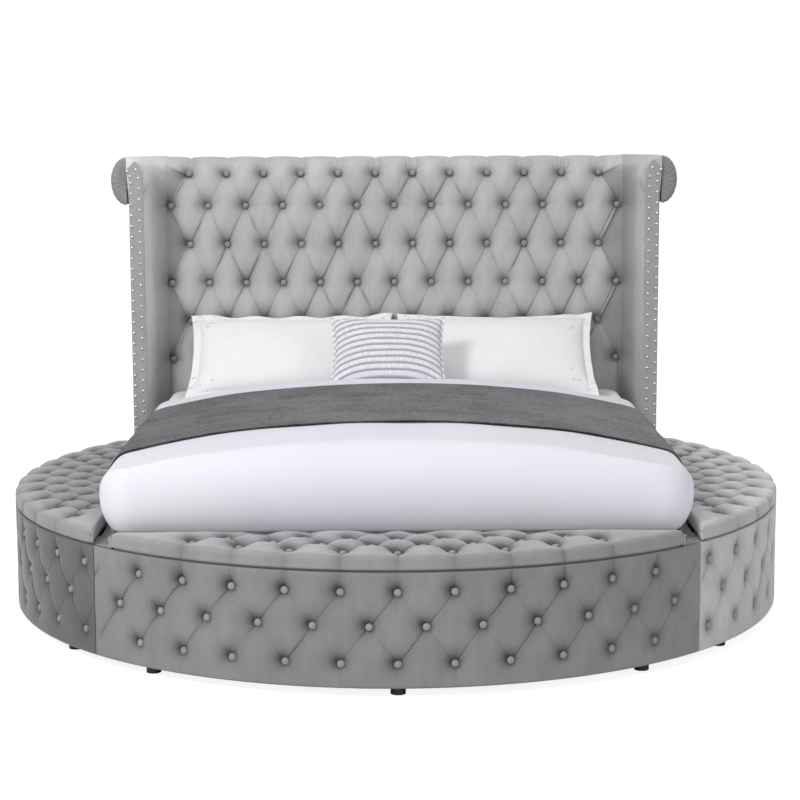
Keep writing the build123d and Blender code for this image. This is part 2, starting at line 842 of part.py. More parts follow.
def duvet_side_view():
    """The duvet's outline seen from the side, rounded at the foot and at the turned rear edge."""
    low_place = -(mattress_length / 2 + duvet_front_spread)
    bulge_place = -(mattress_length / 2 + duvet_front_bulge)
    top = duvet_crown_height + duvet_top_clearance
    front_top = bulge_place + duvet_front_run
    rear_low = duvet_rear_place
    rear_top = rear_low - duvet_rear_run
    side = duvet_side_height
    rear_mid = duvet_shoulder_height
    lines = [
        TangentArc((bulge_place, side), (low_place, duvet_bottom_height), tangent=(0, -1)),
        TangentArc((bulge_place, side), (front_top, top), tangent=(0, 1)),
        Line((front_top, top), (rear_top, top)),
        Line((rear_top, top), (rear_low, rear_mid)),
        Line((rear_low, rear_mid), (rear_low, duvet_bottom_height)),
        Line((rear_low, duvet_bottom_height), (low_place, duvet_bottom_height)),
    ]
    return make_face(Curve() + lines)


def duvet_top(place):
    """Height of the duvet's crown at a distance from the bed's middle line."""
    half = mattress_width / 2 + duvet_side_bulge - duvet_shoulder_run
    rise = duvet_crown_height - duvet_shoulder_height
    radius = (half**2 + rise**2) / (2 * rise)
    return duvet_crown_height - radius + math.sqrt(radius**2 - place**2)


def make_duvet(mattress):
    """The white duvet, crowned on top and bulging over the mattress's edge."""
    span = mattress_length
    across = extrude(Plane.XZ.offset(-span) * duvet_section(0), span * 2)
    along = extrude(Plane.YZ.offset(-span) * duvet_side_view(), span * 2)
    half_width = mattress_width / 2 + duvet_side_bulge
    half_length = mattress_length / 2 + duvet_front_bulge
    tall = (duvet_bottom_height, headboard_height)
    plan = block((-half_width, half_width), (-half_length, half_length), tall)
    plan = fillet(plan.edges().filter_by(Axis.Z), duvet_corner)
    return (across & along & plan) - mattress


def make_throw():
    """The quilted throw across the bed, hanging over both sides of the duvet."""
    shell = duvet_section(throw_thickness + soft_gap) - duvet_section(soft_gap)
    body = extrude(Plane.XZ.offset(-throw_rear_place) * shell, throw_rear_place - throw_front_place)
    far = outer_radius
    return body & block((-far, far), (-far, far), (throw_hem_height, far))


def pillow(width, depth, thickness, rim, flange, side_draw, channels):
    """A cushion that lies flat: crowned, with drawn-in sides, a flat border and sewn channels."""
    half_w = width / 2 - flange
    half_d = depth / 2 - flange
    edge = rim / 2

    def crown(half, swell, share):
        """Height over the middle plane at a share of the way across."""
        return edge + (thickness / 2 - edge) * swell * (1 - share**2)

    def section(station, swell):
        """The swelling section at one station along the width."""
        half = half_d - side_draw * (1 - station**2)
        lines = [
            ThreePointArc((half, -edge), (0, -crown(half, swell, 0)), (-half, -edge)),
            Line((-half, -edge), (-half, edge)),
        ]
        for index in range(channels):
            low, high = 2 * index / channels - 1, 2 * (index + 1) / channels - 1
            middle = (low + high) / 2
            rise = channel_rise * swell if channels > 1 else 0
            start = (low * half, crown(half, swell, low))
            crest = (middle * half, crown(half, swell, middle) + rise)
            lines.append(ThreePointArc(start, crest, (high * half, crown(half, swell, high))))
        lines.append(Line((half, edge), (half, -edge)))
        return Plane.YZ.offset(station * half_w) * make_face(Curve() + lines)

    body = loft([section(station, swell) for station, swell in zip(station_shares, swell_shares)])
    if flange:
        corners = [(width / 2, depth / 2), (-width / 2, depth / 2)]
        corners = corners + [(-x, -y) for x, y in corners]
        middles = [(0, depth / 2 - side_draw), (side_draw - width / 2, 0)]
        middles = middles + [(-x, -y) for x, y in middles]
        ends = corners[1:] + corners[:1]
        arcs = [ThreePointArc(a, m, b) for a, m, b in zip(corners, middles, ends)]
        body = body + extrude(Pos(0, 0, -edge) * make_face(Curve() + arcs), rim)
    return body


def leaned(shape, tilt, centre_x, foot_place, floor):
    """The flat cushion stood up on its front edge and leaned back."""
    tipped = Rot(tilt, 0, 0) * shape
    box = tipped.bounding_box()
    return Pos(centre_x, foot_place - box.min.Y, floor + soft_gap - box.min.Z) * tipped


def make_pillows():
    """Two white pillows that lean on the headboard."""
    flat = pillow(
        pillow_width,
        pillow_depth,
        pillow_thickness,
        pillow_flange_thickness,
        pillow_flange,
        pillow_side_draw,
        1,
    )
    depth = (Rot(pillow_tilt, 0, 0) * flat).bounding_box().size.Y
    foot = headboard_face - pillow_wall_gap - depth
    return [leaned(flat, pillow_tilt, side * pillow_spacing / 2, foot, mattress_top) for side in (-1, 1)]


def make_cushion():
    """The small cushion with rows of sewn tucks."""
    body = pillow(
        cushion_width, cushion_depth, cushion_thickness, cushion_rim, 0, cushion_side_draw, channel_count
    )
    floor = duvet_top(cushion_width / 2 + cushion_offset)
    return leaned(body, cushion_tilt, cushion_offset, cushion_foot_place, floor)


def make_bedding():
    """The mattress and all that lies on it."""
    mattress = make_mattress()
    left_pillow, right_pillow = make_pillows()
    save(mattress, "mattress")
    save(make_duvet(mattress), "duvet")
    save(make_throw(), "throw")
    save(left_pillow, "left_pillow")
    save(right_pillow, "right_pillow")
    save(make_cushion(), "accent_cushion")


os.makedirs("parts", exist_ok=True)
make_benches()
make_support()
make_headboard()
make_bedding()
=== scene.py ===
"""Looks of the round storage bed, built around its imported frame, in metres."""

import math

import bmesh
import bpy
import numpy as np
from mathutils import Matrix, Vector


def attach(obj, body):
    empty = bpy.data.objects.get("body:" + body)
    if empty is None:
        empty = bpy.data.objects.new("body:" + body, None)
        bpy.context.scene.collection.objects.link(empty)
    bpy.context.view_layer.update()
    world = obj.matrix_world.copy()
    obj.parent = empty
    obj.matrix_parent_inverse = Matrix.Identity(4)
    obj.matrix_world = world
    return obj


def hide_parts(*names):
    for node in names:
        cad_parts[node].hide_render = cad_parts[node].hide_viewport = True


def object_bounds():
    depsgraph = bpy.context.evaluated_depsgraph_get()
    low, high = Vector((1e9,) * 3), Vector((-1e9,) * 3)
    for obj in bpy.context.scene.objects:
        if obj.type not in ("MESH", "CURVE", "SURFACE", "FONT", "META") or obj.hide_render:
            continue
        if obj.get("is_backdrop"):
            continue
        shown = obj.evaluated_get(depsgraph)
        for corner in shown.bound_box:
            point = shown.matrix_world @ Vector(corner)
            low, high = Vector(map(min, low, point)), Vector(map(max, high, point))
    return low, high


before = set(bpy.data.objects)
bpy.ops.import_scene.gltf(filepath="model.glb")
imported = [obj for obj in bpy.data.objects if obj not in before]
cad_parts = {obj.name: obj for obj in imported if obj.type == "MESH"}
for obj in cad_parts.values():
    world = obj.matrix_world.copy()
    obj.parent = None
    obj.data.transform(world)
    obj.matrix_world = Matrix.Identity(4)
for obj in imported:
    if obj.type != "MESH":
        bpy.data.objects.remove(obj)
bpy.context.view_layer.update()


# Boards and feet. The benches stand on round black plastic feet and are built of plywood boards
# glued and screwed at the corners. The boards keep their frame shapes and get their grain here.
def node(tree, kind, values=None, **settings):
    """A new node with its settings. An input is linked to a socket or set to a value."""
    made = tree.nodes.new(kind)
    for key, value in settings.items():
        setattr(made, key, value)
    for key, value in (values or {}).items():
        if isinstance(value, bpy.types.NodeSocket):
            tree.links.new(value, made.inputs[key])
        else:
            made.inputs[key].default_value = value
    return made


def math_of(tree, operation, first, second=0.0):
    """The result of one step of arithmetic on sockets or numbers."""
    return node(tree, "ShaderNodeMath", {0: first, 1: second}, operation=operation).outputs[0]


def finish_of(name, **sockets):
    """A new material with its tree and its surface node, whose inputs are set as asked."""
    made = bpy.data.materials.new(name)
    made.use_nodes = True
    tree = made.node_tree
    surface = tree.nodes["Principled BSDF"]
    for key, value in sockets.items():
        surface.inputs[key.replace("_", " ")].default_value = value
    return made, tree, surface


def mapped(tree, stretch=(1, 1, 1)):
    """Place on the object, with its own stretch for grain and weave."""
    place = node(tree, "ShaderNodeTexCoord").outputs["Object"]
    return node(tree, "ShaderNodeMapping", {"Vector": place, "Scale": stretch}).outputs[0]


def noise(tree, place, scale, detail=3.0, rough=0.5):
    """Soft random variation at a scale per metre."""
    values = {"Vector": place, "Scale": scale, "Detail": detail, "Roughness": rough}
    return node(tree, "ShaderNodeTexNoise", values).outputs["Fac"]


def ramp(tree, factor, stops):
    """Colour or strength along stops of place and grey or colour."""
    made = node(tree, "ShaderNodeValToRGB", {"Fac": factor})
    elements = made.color_ramp.elements
    while len(elements) < len(stops):
        elements.new(0.5)
    for element, (place, colour) in zip(elements, stops):
        element.position = place
        element.color = (*colour, 1.0) if isinstance(colour, tuple) else (colour, colour, colour, 1.0)
    return made.outputs["Color"]


def paint(tree, surface, factor, low, high, into="Base Color"):
    """Gives a surface its colour or roughness from two stops of a factor."""
    tree.links.new(ramp(tree, factor, [low, high]), surface.inputs[into])


def weighed(tree, first, second, share):
    """A share of the first added to the rest of the second."""
    part = math_of(tree, "MULTIPLY", first, share)
    return math_of(tree, "ADD", part, math_of(tree, "MULTIPLY", second, 1 - share))


def relief(tree, surface, height, strength, distance):
    """Fine bumps on a surface."""
    values = {"Height": height, "Strength": strength, "Distance": distance}
    tree.links.new(node(tree, "ShaderNodeBump", values).outputs[0], surface.inputs["Normal"])


def wood(name, light, dark, stretch, line_scale):
    """Wood with long grain lines and faint blotches."""
    made, tree, surface = finish_of(name, Roughness=0.62)
    place = mapped(tree, stretch)
    grain = noise(tree, place, line_scale, 6.0, 0.62)
    blotch = noise(tree, mapped(tree), 4.0)
    both = weighed(tree, grain, blotch, 0.75)
    paint(tree, surface, both, (0.36, dark), (0.62, light))
    paint(tree, surface, grain, (0.3, 0.72), (0.7, 0.55), "Roughness")
    relief(tree, surface, grain, 0.25, 0.0008)
    return made


def dress(names, material, edge=0.0):
    """Frame nodes that keep their shape get their material and a softened edge."""
    for name in names:
        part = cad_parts[name]
        part.data.materials.clear()
        part.data.materials.append(material)
        if edge:
            bevel = part.modifiers.new("edge", "BEVEL")
            bevel.width = edge
            bevel.segments = 2
            bevel.limit_method = "ANGLE"


def on_each(*pieces):
    """The names of some pieces of the three benches."""
    return [f"{side}_{piece}" for side in ("front", "left", "right") for piece in pieces]


plywood_look = ((0.62, 0.47, 0.29), (0.45, 0.31, 0.17), (1, 1, 14), 9.0)
dress(on_each("bottom_board") + ["headboard_panel"], wood("birch_plywood", *plywood_look))

foot_black, tree, surface = finish_of("moulded_black_feet", Roughness=0.42)
speckle = noise(tree, mapped(tree), 900.0)
paint(tree, surface, speckle, (0.3, 0.006), (0.75, 0.022))
relief(tree, surface, speckle, 0.2, 0.0004)
dress(["base_feet"], foot_black, 0.003)

# Hinges and bolts. Each lid turns on three zinc plated butt hinges on the inner wall's bench side,
# and round-headed bolts hold the headboard's legs to the side rails.
zinc, tree, surface = finish_of("zinc_plated_steel", Metallic=1.0)
cloud = noise(tree, mapped(tree), 140.0, 5.0)
paint(tree, surface, cloud, (0.35, (0.46, 0.47, 0.48)), (0.7, (0.68, 0.69, 0.70)))
paint(tree, surface, cloud, (0.3, 0.5), (0.7, 0.3), "Roughness")
relief(tree, surface, noise(tree, mapped(tree, (1, 1, 20)), 300.0), 0.1, 0.0002)
dress(on_each("fixed_hinge_leaves", "lid_hinge_leaves", "hinge_pins") + ["headboard_bolts"], zinc)

# Mattress support. Planed pine rails, legs and slats carry the mattress inside the ring of benches. The
# headboard stands on two pine legs of its own. The grain runs along each piece.
for names, kind, light, dark, stretch in (
    (["slats"], "", (0.74, 0.58, 0.36), (0.58, 0.40, 0.22), (1, 14, 14)),
    (["side_rails", "centre_rail"], "_rails", (0.72, 0.56, 0.35), (0.55, 0.38, 0.21), (14, 1, 14)),
    (["centre_legs", "headboard_legs"], "_legs", (0.70, 0.54, 0.33), (0.53, 0.36, 0.20), (14, 14, 1)),
):
    dress(names, wood("planed_pine" + kind, light, dark, stretch, 6.0), 0.002)


# Velvet. One short-piled grey polyester velvet covers the whole bed, and its pile lies in soft drifts.
# Each panel gets its own copy of the velvet with a painted brightness, so some panels look darker than
# others: painted light and shade for how the light falls on each panel and on its pile, which runs
# another way on each length.
def mixed_of(tree, factor, first, second):
    """The second colour laid over the first by a factor."""
    return node(tree, "ShaderNodeMix", {"Factor": factor, 6: first, 7: second}, data_type="RGBA").outputs[2]


def velvet_of(name, shade, warmth=0.0, mottle=0.0):
    """Grey velvet of one brightness with drifts of its pile, brushed marks and fine pile bumps, darkened
    by the painted shade that the dim attribute holds.
    """
    tint = (0.94, 0.94, 0.96, 1.0)
    made, tree, surface = finish_of(
        name, Sheen_Weight=0.5, Sheen_Roughness=0.34, Sheen_Tint=tint, Specular_IOR_Level=0.25
    )
    place = mapped(tree)
    drift = noise(tree, place, 3.2, 3.0, 0.6)
    brushed = noise(tree, mapped(tree, (1, 1, 0.35)), 26.0, 4.0, 0.65)
    pile = noise(tree, place, 1300.0, 2.0)
    mixed = weighed(tree, drift, brushed, 0.55)
    if mottle:
        mixed = weighed(tree, mixed, noise(tree, place, 210.0, 2.0, 0.8), 1 - mottle)
    dark = tuple(shade * share for share in (0.84 + warmth, 0.84, 0.85 - warmth))
    light = tuple(shade * share for share in (1.10 + warmth, 1.10, 1.11 - warmth))
    laid = ramp(tree, mixed, [(0.34, dark), (0.66, light)])
    # Painted shade: the dim attribute blends the colour toward a fifth of the velvet's brightness.
    drawn = node(tree, "ShaderNodeAttribute", attribute_name="dim").outputs["Fac"]
    shaded = tuple(shade * share for share in (0.20, 0.20, 0.205)) + (1.0,)
    tree.links.new(mixed_of(tree, drawn, laid, shaded), surface.inputs["Base Color"])
    paint(tree, surface, mixed, (0.3, 0.68), (0.7, 0.54), "Roughness")
    relief(tree, surface, pile, 0.3, 0.0007)
    return made


velvet = velvet_of("grey_velvet", 0.47)
# Painted light and shade: copies of the one velvet, each with its own brightness for how light falls on its
# part, and the buttons' copy darker for the shade in their wells.
shades = {
    "front_wall": (0.225, 0.012),
    "front_lid": (0.37,),
    "left_wall": (0.125,),
    "left_lid": (0.37,),
    "right_wall": (0.49, 0.014),
    "right_lid": (0.60,),
    "left_wing": (0.72,),
    "right_wing": (0.52,),
    "scrolls": (0.25,),
    "trim": (0.34, 0.0, 0.5),
    "buttons": (0.27,),
}
velvets = {piece: velvet_of(f"grey_velvet_{piece}", *values) for piece, values in shades.items()}
dress(on_each("inner_wall", "end_blocks"), velvets["front_wall"], 0.004)


# The walls' boards are bare inside the benches and the lids' boards underneath. The velvet is turned over
# the walls' top edges and wrapped round the edges of the lids' boards.
def wrapped(name, above, shade):
    """Bare plywood that is covered with velvet above a height."""
    made = wood(name, *plywood_look)
    tree, surface = made.node_tree, made.node_tree.nodes["Principled BSDF"]
    grain_colour = surface.inputs["Base Color"].links[0].from_socket
    height = node(tree, "ShaderNodeSeparateXYZ", {0: mapped(tree)}).outputs[2]
    covered = math_of(tree, "GREATER_THAN", height, above)
    brushed = noise(tree, mapped(tree), 26.0, 4.0, 0.65)
    cloth = ramp(tree, brushed, [(0.34, 0.86 * shade), (0.66, 1.14 * shade)])
    tree.links.new(mixed_of(tree, covered, grain_colour, cloth), surface.inputs["Base Color"])
    return made


dress(on_each("outer_wall"), wrapped("plywood_under_velvet", 0.392, 0.235))
dress(on_each("lid_board"), wrapped("plywood_in_velvet", 0.4158, 0.17))


# Tufting. Covered buttons on twine pull the padding in, and the cloth between them folds into diamond
# pleats. The cloth is laid out flat with its edges along the pleats, and a node tree draws it in. The tree
# also stores painted shade for the velvet: a painted shadow to one side of each button, and darkening
# close to the buttons and in the creases.
def linked(name, data):
    """An object of the scene at the origin."""
    made = bpy.data.objects.new(name, data)
    bpy.context.scene.collection.objects.link(made)
    return made


def mesh_of(name, points, faces=(), edges=()):
    """A mesh object at the origin."""
    data = bpy.data.meshes.new(name)
    data.from_pydata([tuple(map(float, p)) for p in points], list(edges), [tuple(map(int, f)) for f in faces])
    return linked(name, data)


def lines_of(name, runs):
    """A mesh object of bare edges, one polyline for each run of points."""
    points, edges = [], []
    for run in runs:
        start = len(points)
        points.extend(run)
        edges.extend((start + i, start + i + 1) for i in range(len(run) - 1))
    return mesh_of(name, points, edges=edges)


def tree_of(name, sockets):
    """A geometry node tree with named inputs."""
    tree = bpy.data.node_groups.new(name, "GeometryNodeTree")
    tree.interface.new_socket("Geometry", in_out="INPUT", socket_type="NodeSocketGeometry")
    for label, kind, value in sockets:
        made = tree.interface.new_socket(label, in_out="INPUT", socket_type="NodeSocket" + kind)
        if value is not None:
            made.default_value = value
    tree.interface.new_socket("Geometry", in_out="OUTPUT", socket_type="NodeSocketGeometry")
    return tree, node(tree, "NodeGroupInput").outputs, node(tree, "NodeGroupOutput").inputs[0]


def held(tree, name, kind="FLOAT"):
    """An attribute that the mesh holds on its points."""
    return node(tree, "GeometryNodeInputNamedAttribute", {"Name": name}, data_type=kind).outputs["Attribute"]


def grown(piece, tree, values):
    """The piece with the tree's result as its plain mesh."""
    modifier = piece.modifiers.new(tree.name, "NODES")
    modifier.node_group = tree
    for item in tree.interface.items_tree:
        if item.item_type == "SOCKET" and item.in_out == "INPUT" and item.name in values:
            modifier[item.identifier] = values[item.name]
    graph = bpy.context.evaluated_depsgraph_get()
    made = bpy.data.meshes.new_from_object(piece.evaluated_get(graph))
    piece.modifiers.remove(modifier)
    old, piece.data = piece.data, made
    bpy.data.meshes.remove(old)
    return piece


families = ("Rising", "Falling", "Upright", "Gather")
draw_in, given, result = tree_of(
    "draw_in",
    [(f"{family} Pleats", "Object", None) for family in families]
    + [(f"{family} Share", "Float", 1.0) for family in families]
    + [
        ("Lips", "Object", None),
        ("Buttons", "Object", None),
        ("Pleat Depth", "Float", 0.010),
        ("Crease Width", "Float", 0.005),
        ("Puff Width", "Float", 0.034),
        ("Puff Share", "Float", 0.46),
        ("Gather Reach", "Float", 0.04),
        ("Button Depth", "Float", 0.014),
        ("Button Width", "Float", 0.020),
        ("Funnel Width", "Float", 0.045),
        ("Lip Height", "Float", 0.0020),
        ("Slack", "Float", 0.0016),
        # These inputs place, size and darken the painted shadow beside each button.
        ("Nap Shift", "Vector", None),
        ("Nap Width", "Float", 0.028),
        ("Nap Shade", "Float", 0.6),
        ("Crease Shade", "Float", 0.22),
        ("Material", "Material", None),
    ],
)


def nearest(target, element, source=None):
    """Distance from each point of the cloth, or from another place, to the nearest line or button."""
    shape = node(draw_in, "GeometryNodeObjectInfo", {"Object": target}).outputs["Geometry"]
    values = {0: shape} if source is None else {0: shape, "Source Position": source}
    return node(draw_in, "GeometryNodeProximity", values, target_element=element).outputs["Distance"]


def fade(distance, width, power):
    """1 at the line, falling to 0 over about the width."""
    share = math_of(draw_in, "POWER", math_of(draw_in, "DIVIDE", distance, width), power)
    return math_of(draw_in, "EXPONENT", math_of(draw_in, "MULTIPLY", share, -1.0))


def product(*factors):
    """The factors multiplied together."""
    total = factors[0]
    for factor in factors[1:]:
        total = math_of(draw_in, "MULTIPLY", total, factor)
    return total


def total_of(*terms):
    """The terms added up."""
    total = terms[0]
    for term in terms[1:]:
        total = math_of(draw_in, "ADD", total, term)
    return total


def rest_of(share):
    """What a share leaves of 1."""
    return math_of(draw_in, "SUBTRACT", 1.0, share)


to_button = nearest(given["Buttons"], "POINTS")
position = node(draw_in, "GeometryNodeInputPosition").outputs[0]
wander = node(draw_in, "ShaderNodeTexNoise", {"Vector": position, "Scale": 7.0, "Detail": 1.0}).outputs["Fac"]
uneven = math_of(draw_in, "MAXIMUM", total_of(product(wander, 3.6), -0.85), 0.12)
untouched = 1.0
for family in families:
    away = nearest(given[f"{family} Pleats"], "EDGES")
    crease = product(fade(away, given["Crease Width"], 1.0), 0.5, uneven)
    if family == "Gather":
        pull = product(crease, fade(to_button, given["Gather Reach"], 2.0))
    else:
        puff = product(fade(away, given["Puff Width"], 1.4), given["Puff Share"])
        pull = total_of(crease, puff)
    pull = product(pull, given[f"{family} Share"])
    untouched = product(untouched, rest_of(pull))
pleated = product(rest_of(untouched), given["Pleat Depth"])
funnel = product(fade(to_button, given["Funnel Width"], 1.3), 0.5)
core = product(fade(to_button, given["Button Width"], 1.6), 0.5)
well = product(total_of(funnel, core), given["Button Depth"])
clear = rest_of(fade(to_button, 0.034, 3.0))
to_lip = nearest(given["Lips"], "EDGES")
lip = product(fade(to_lip, 0.0042, 2.0), clear, uneven, given["Lip Height"])
broad = node(draw_in, "ShaderNodeTexNoise", {"Vector": position, "Scale": 9.0, "Detail": 2.0}).outputs["Fac"]
slack = product(broad, given["Slack"])
drop = total_of(pleated, well, slack, product(lip, -1.0))
move = {0: held(draw_in, "out", "FLOAT_VECTOR"), "Scale": product(drop, held(draw_in, "free"), -1.0)}
shift = node(draw_in, "ShaderNodeVectorMath", move, operation="SCALE").outputs[0]
# Painted shade: a dark patch round a place shifted from each button stands for the shadow cast to one side of
# it. The cloth is also darkened close to each button and in the creases, and all of it is added to the shade
# already held in the dim attribute.
brushed = node(draw_in, "ShaderNodeVectorMath", {0: position, 1: given["Nap Shift"]}).outputs[0]
to_shadow_place = nearest(given["Buttons"], "POINTS", brushed)
button_shadow = product(fade(to_shadow_place, given["Nap Width"], 1.6), given["Nap Shade"])
close = product(fade(to_button, 0.016, 2.0), 0.55)
already = held(draw_in, "dim")
creases = product(rest_of(untouched), given["Crease Shade"])
dimmed = math_of(draw_in, "MINIMUM", total_of(already, button_shadow, close, creases), 1.0)
kept = {"Geometry": given["Geometry"], "Name": "dim", "Value": dimmed}
stored = node(draw_in, "GeometryNodeStoreNamedAttribute", kept, data_type="FLOAT", domain="POINT").outputs[0]
moved = node(draw_in, "GeometryNodeSetPosition", {"Geometry": stored, "Offset": shift}).outputs[0]
smooth = node(draw_in, "GeometryNodeSetShadeSmooth", {"Geometry": moved}).outputs[0]
real = node(draw_in, "GeometryNodeRealizeInstances", {"Geometry": smooth}).outputs[0]
coating = {"Geometry": real, "Material": given["Material"]}
draw_in.links.new(node(draw_in, "GeometryNodeSetMaterial", coating).outputs[0], result)


def set_out(piece, ways):
    """Keeps on each point the way that its cloth faces."""
    attribute = piece.data.attributes.new("out", "FLOAT_VECTOR", "POINT")
    attribute.data.foreach_set("vector", np.asarray(ways, np.float32).ravel())


def tufted(piece, runs, buttons, material, **values):
    """Draws a padded piece in along its pleats and at its buttons, and stores painted shade in its creases,
    around its buttons and as a shadow beside each button.
    """
    far = [[(0, 0, -50), (1, 0, -50)]]
    aids = {f"{family} Pleats": lines_of(family, runs.get(family) or far) for family in families}
    aids["Lips"] = lines_of("lips", runs.get("Lip") or far)
    aids["Buttons"] = mesh_of("button_points", buttons, [])
    settings = {key.replace("_", " "): value for key, value in values.items()}
    grown(piece, draw_in, {**aids, **settings, "Material": material})
    for aid in aids.values():
        bpy.data.objects.remove(aid)


def diamonds(rows, chance, sag, lip):
    """Flat pleat runs between the buttons of neighbouring rows, with a lip beside each rising one."""
    runs = {"Rising": [], "Falling": [], "Lip": []}
    for row, places in enumerate(rows[:-1]):
        for key, (u, v) in places.items():
            for near in (key - 1, key + 1):
                if near not in rows[row + 1]:
                    continue
                far_u, far_v = rows[row + 1][near]
                bow = chance.normal(0, sag)
                run = []
                for t in np.linspace(0, 1, 11):
                    run.append((u + (far_u - u) * t + bow * math.sin(math.pi * t), v + (far_v - v) * t))
                rising = (far_u - u) * (far_v - v) > 0
                runs["Rising" if rising else "Falling"].append(run)
                if rising and lip:
                    size = math.hypot(far_u - u, far_v - v)
                    across = (lip * abs(far_v - v) / size, -lip * abs(far_u - u) / size)
                    runs["Lip"].append([(a + across[0], b + across[1]) for a, b in run[1:-1]])
    return runs


def wrinkles(spots, chance, number, shortest, longest, low=0.0, high=2.0):
    """Short flat runs that radiate from the buttons, between two directions in half turns."""
    runs = []
    for u, v in spots:
        for way in chance.uniform(low * math.pi, high * math.pi, number):
            reach = chance.uniform(shortest, longest)
            runs.append([(u + d * math.cos(way), v + d * math.sin(way)) for d in (0.008, reach / 2, reach)])
    return runs


def cloth_lattice(pitch, first, rows, u_range, v_range, steps):
    """Flat cloth with its edges along the diamonds of a button lattice, cut to u_range by v_range.
    first is the u of a button in row 0, and rows holds the v of each row."""
    half = steps // 2
    part = np.abs(np.arange(-half, half) / half) ** 1.6 * 0.5 * np.sign(np.arange(-half, half))
    spots = np.arange(len(rows))
    low_gap, high_gap = rows[1] - rows[0], rows[-1] - rows[-2]
    reach = 40
    all_spots = np.concatenate([np.arange(-reach, 0), spots, np.arange(len(rows), len(rows) + reach)])
    before, after = rows[0] + low_gap * np.arange(-reach, 0), rows[-1] + high_gap * np.arange(1, reach + 1)
    all_rows = np.concatenate([before, rows, after])
    order = np.argsort(all_rows)
    q_range = np.interp(v_range, all_rows[order], all_spots[order])
    p_range = (np.array(u_range) - first) / pitch
    q_low, q_high = min(q_range) - 0.2, max(q_range) + 0.2
    p_low, p_high = p_range[0] - 0.2, p_range[1] + 0.2
    a_units = np.arange(math.floor(p_low + q_low / 2) - 1, math.ceil(p_high + q_high / 2) + 2)
    b_units = np.arange(math.floor(p_low - q_high / 2) - 1, math.ceil(p_high - q_low / 2) + 2)
    a = (a_units[:, None] + part[None, :]).ravel()
    b = (b_units[:, None] + part[None, :]).ravel()
    p = (a[:, None] + b[None, :]) / 2
    q = a[:, None] - b[None, :]
    inside = (p > p_low) & (p < p_high) & (q > q_low) & (q < q_high)
    keep = inside[:-1, :-1] | inside[1:, :-1] | inside[:-1, 1:] | inside[1:, 1:]
    i, j = np.nonzero(keep)
    count = len(b)
    quads = np.stack([i * count + j, (i + 1) * count + j, (i + 1) * count + j + 1, i * count + j + 1], 1)
    used, inverse = np.unique(quads, return_inverse=True)
    quads = inverse.reshape(quads.shape)
    u = (first + pitch * p).ravel()[used]
    v = np.interp(q.ravel()[used], all_spots, all_rows)
    data = bpy.data.meshes.new("cloth")
    data.from_pydata(np.stack([u, v, u * 0], 1).tolist(), [], quads.tolist())
    cloth = bmesh.new()
    cloth.from_mesh(data)
    bpy.data.meshes.remove(data)
    for side, u in zip((-1, 1), u_range):
        cut(cloth, (u, 0, 0), (side, 0, 0))
    for side, v in zip((-1, 1), sorted(v_range)):
        cut(cloth, (0, v, 0), (0, side, 0))
    if next(iter(cloth.faces)).normal.z < 0:
        bmesh.ops.reverse_faces(cloth, faces=cloth.faces)
    return cloth


def cut(cloth, place, outward, drop=True):
    """Cuts the cloth at a plane and drops what lies outward of it, or only adds the row of edges."""
    values = {"plane_co": place, "plane_no": outward, "clear_outer": drop}
    bmesh.ops.bisect_plane(cloth, geom=cloth.verts[:] + cloth.edges[:] + cloth.faces[:], dist=1e-6, **values)


def creased(cloth, place, outward, insets):
    """Adds rows of edges just inside a plane where the cloth will be bent."""
    for inset in insets:
        cut(cloth, Vector(place) - Vector(outward) * inset, outward, drop=False)


def rim_of(cloth):
    """The cloth's open edge as a loop of vertices in order."""
    ahead = {}
    for edge in cloth.edges:
        if edge.is_boundary:
            loop = edge.link_loops[0]
            ahead[loop.vert] = loop.link_loop_next.vert
    start = next(iter(ahead))
    rim = [start]
    while ahead[rim[-1]] is not start:
        rim.append(ahead[rim[-1]])
    return rim


def ring(cloth, rim, places):
    """Carries the cloth on from its rim to new places, one for each vertex of the rim."""
    made = [cloth.verts.new(place) for place in places]
    count = len(rim)
    for i in range(count):
        cloth.faces.new((rim[(i + 1) % count], rim[i], made[i], made[(i + 1) % count]))
    return made


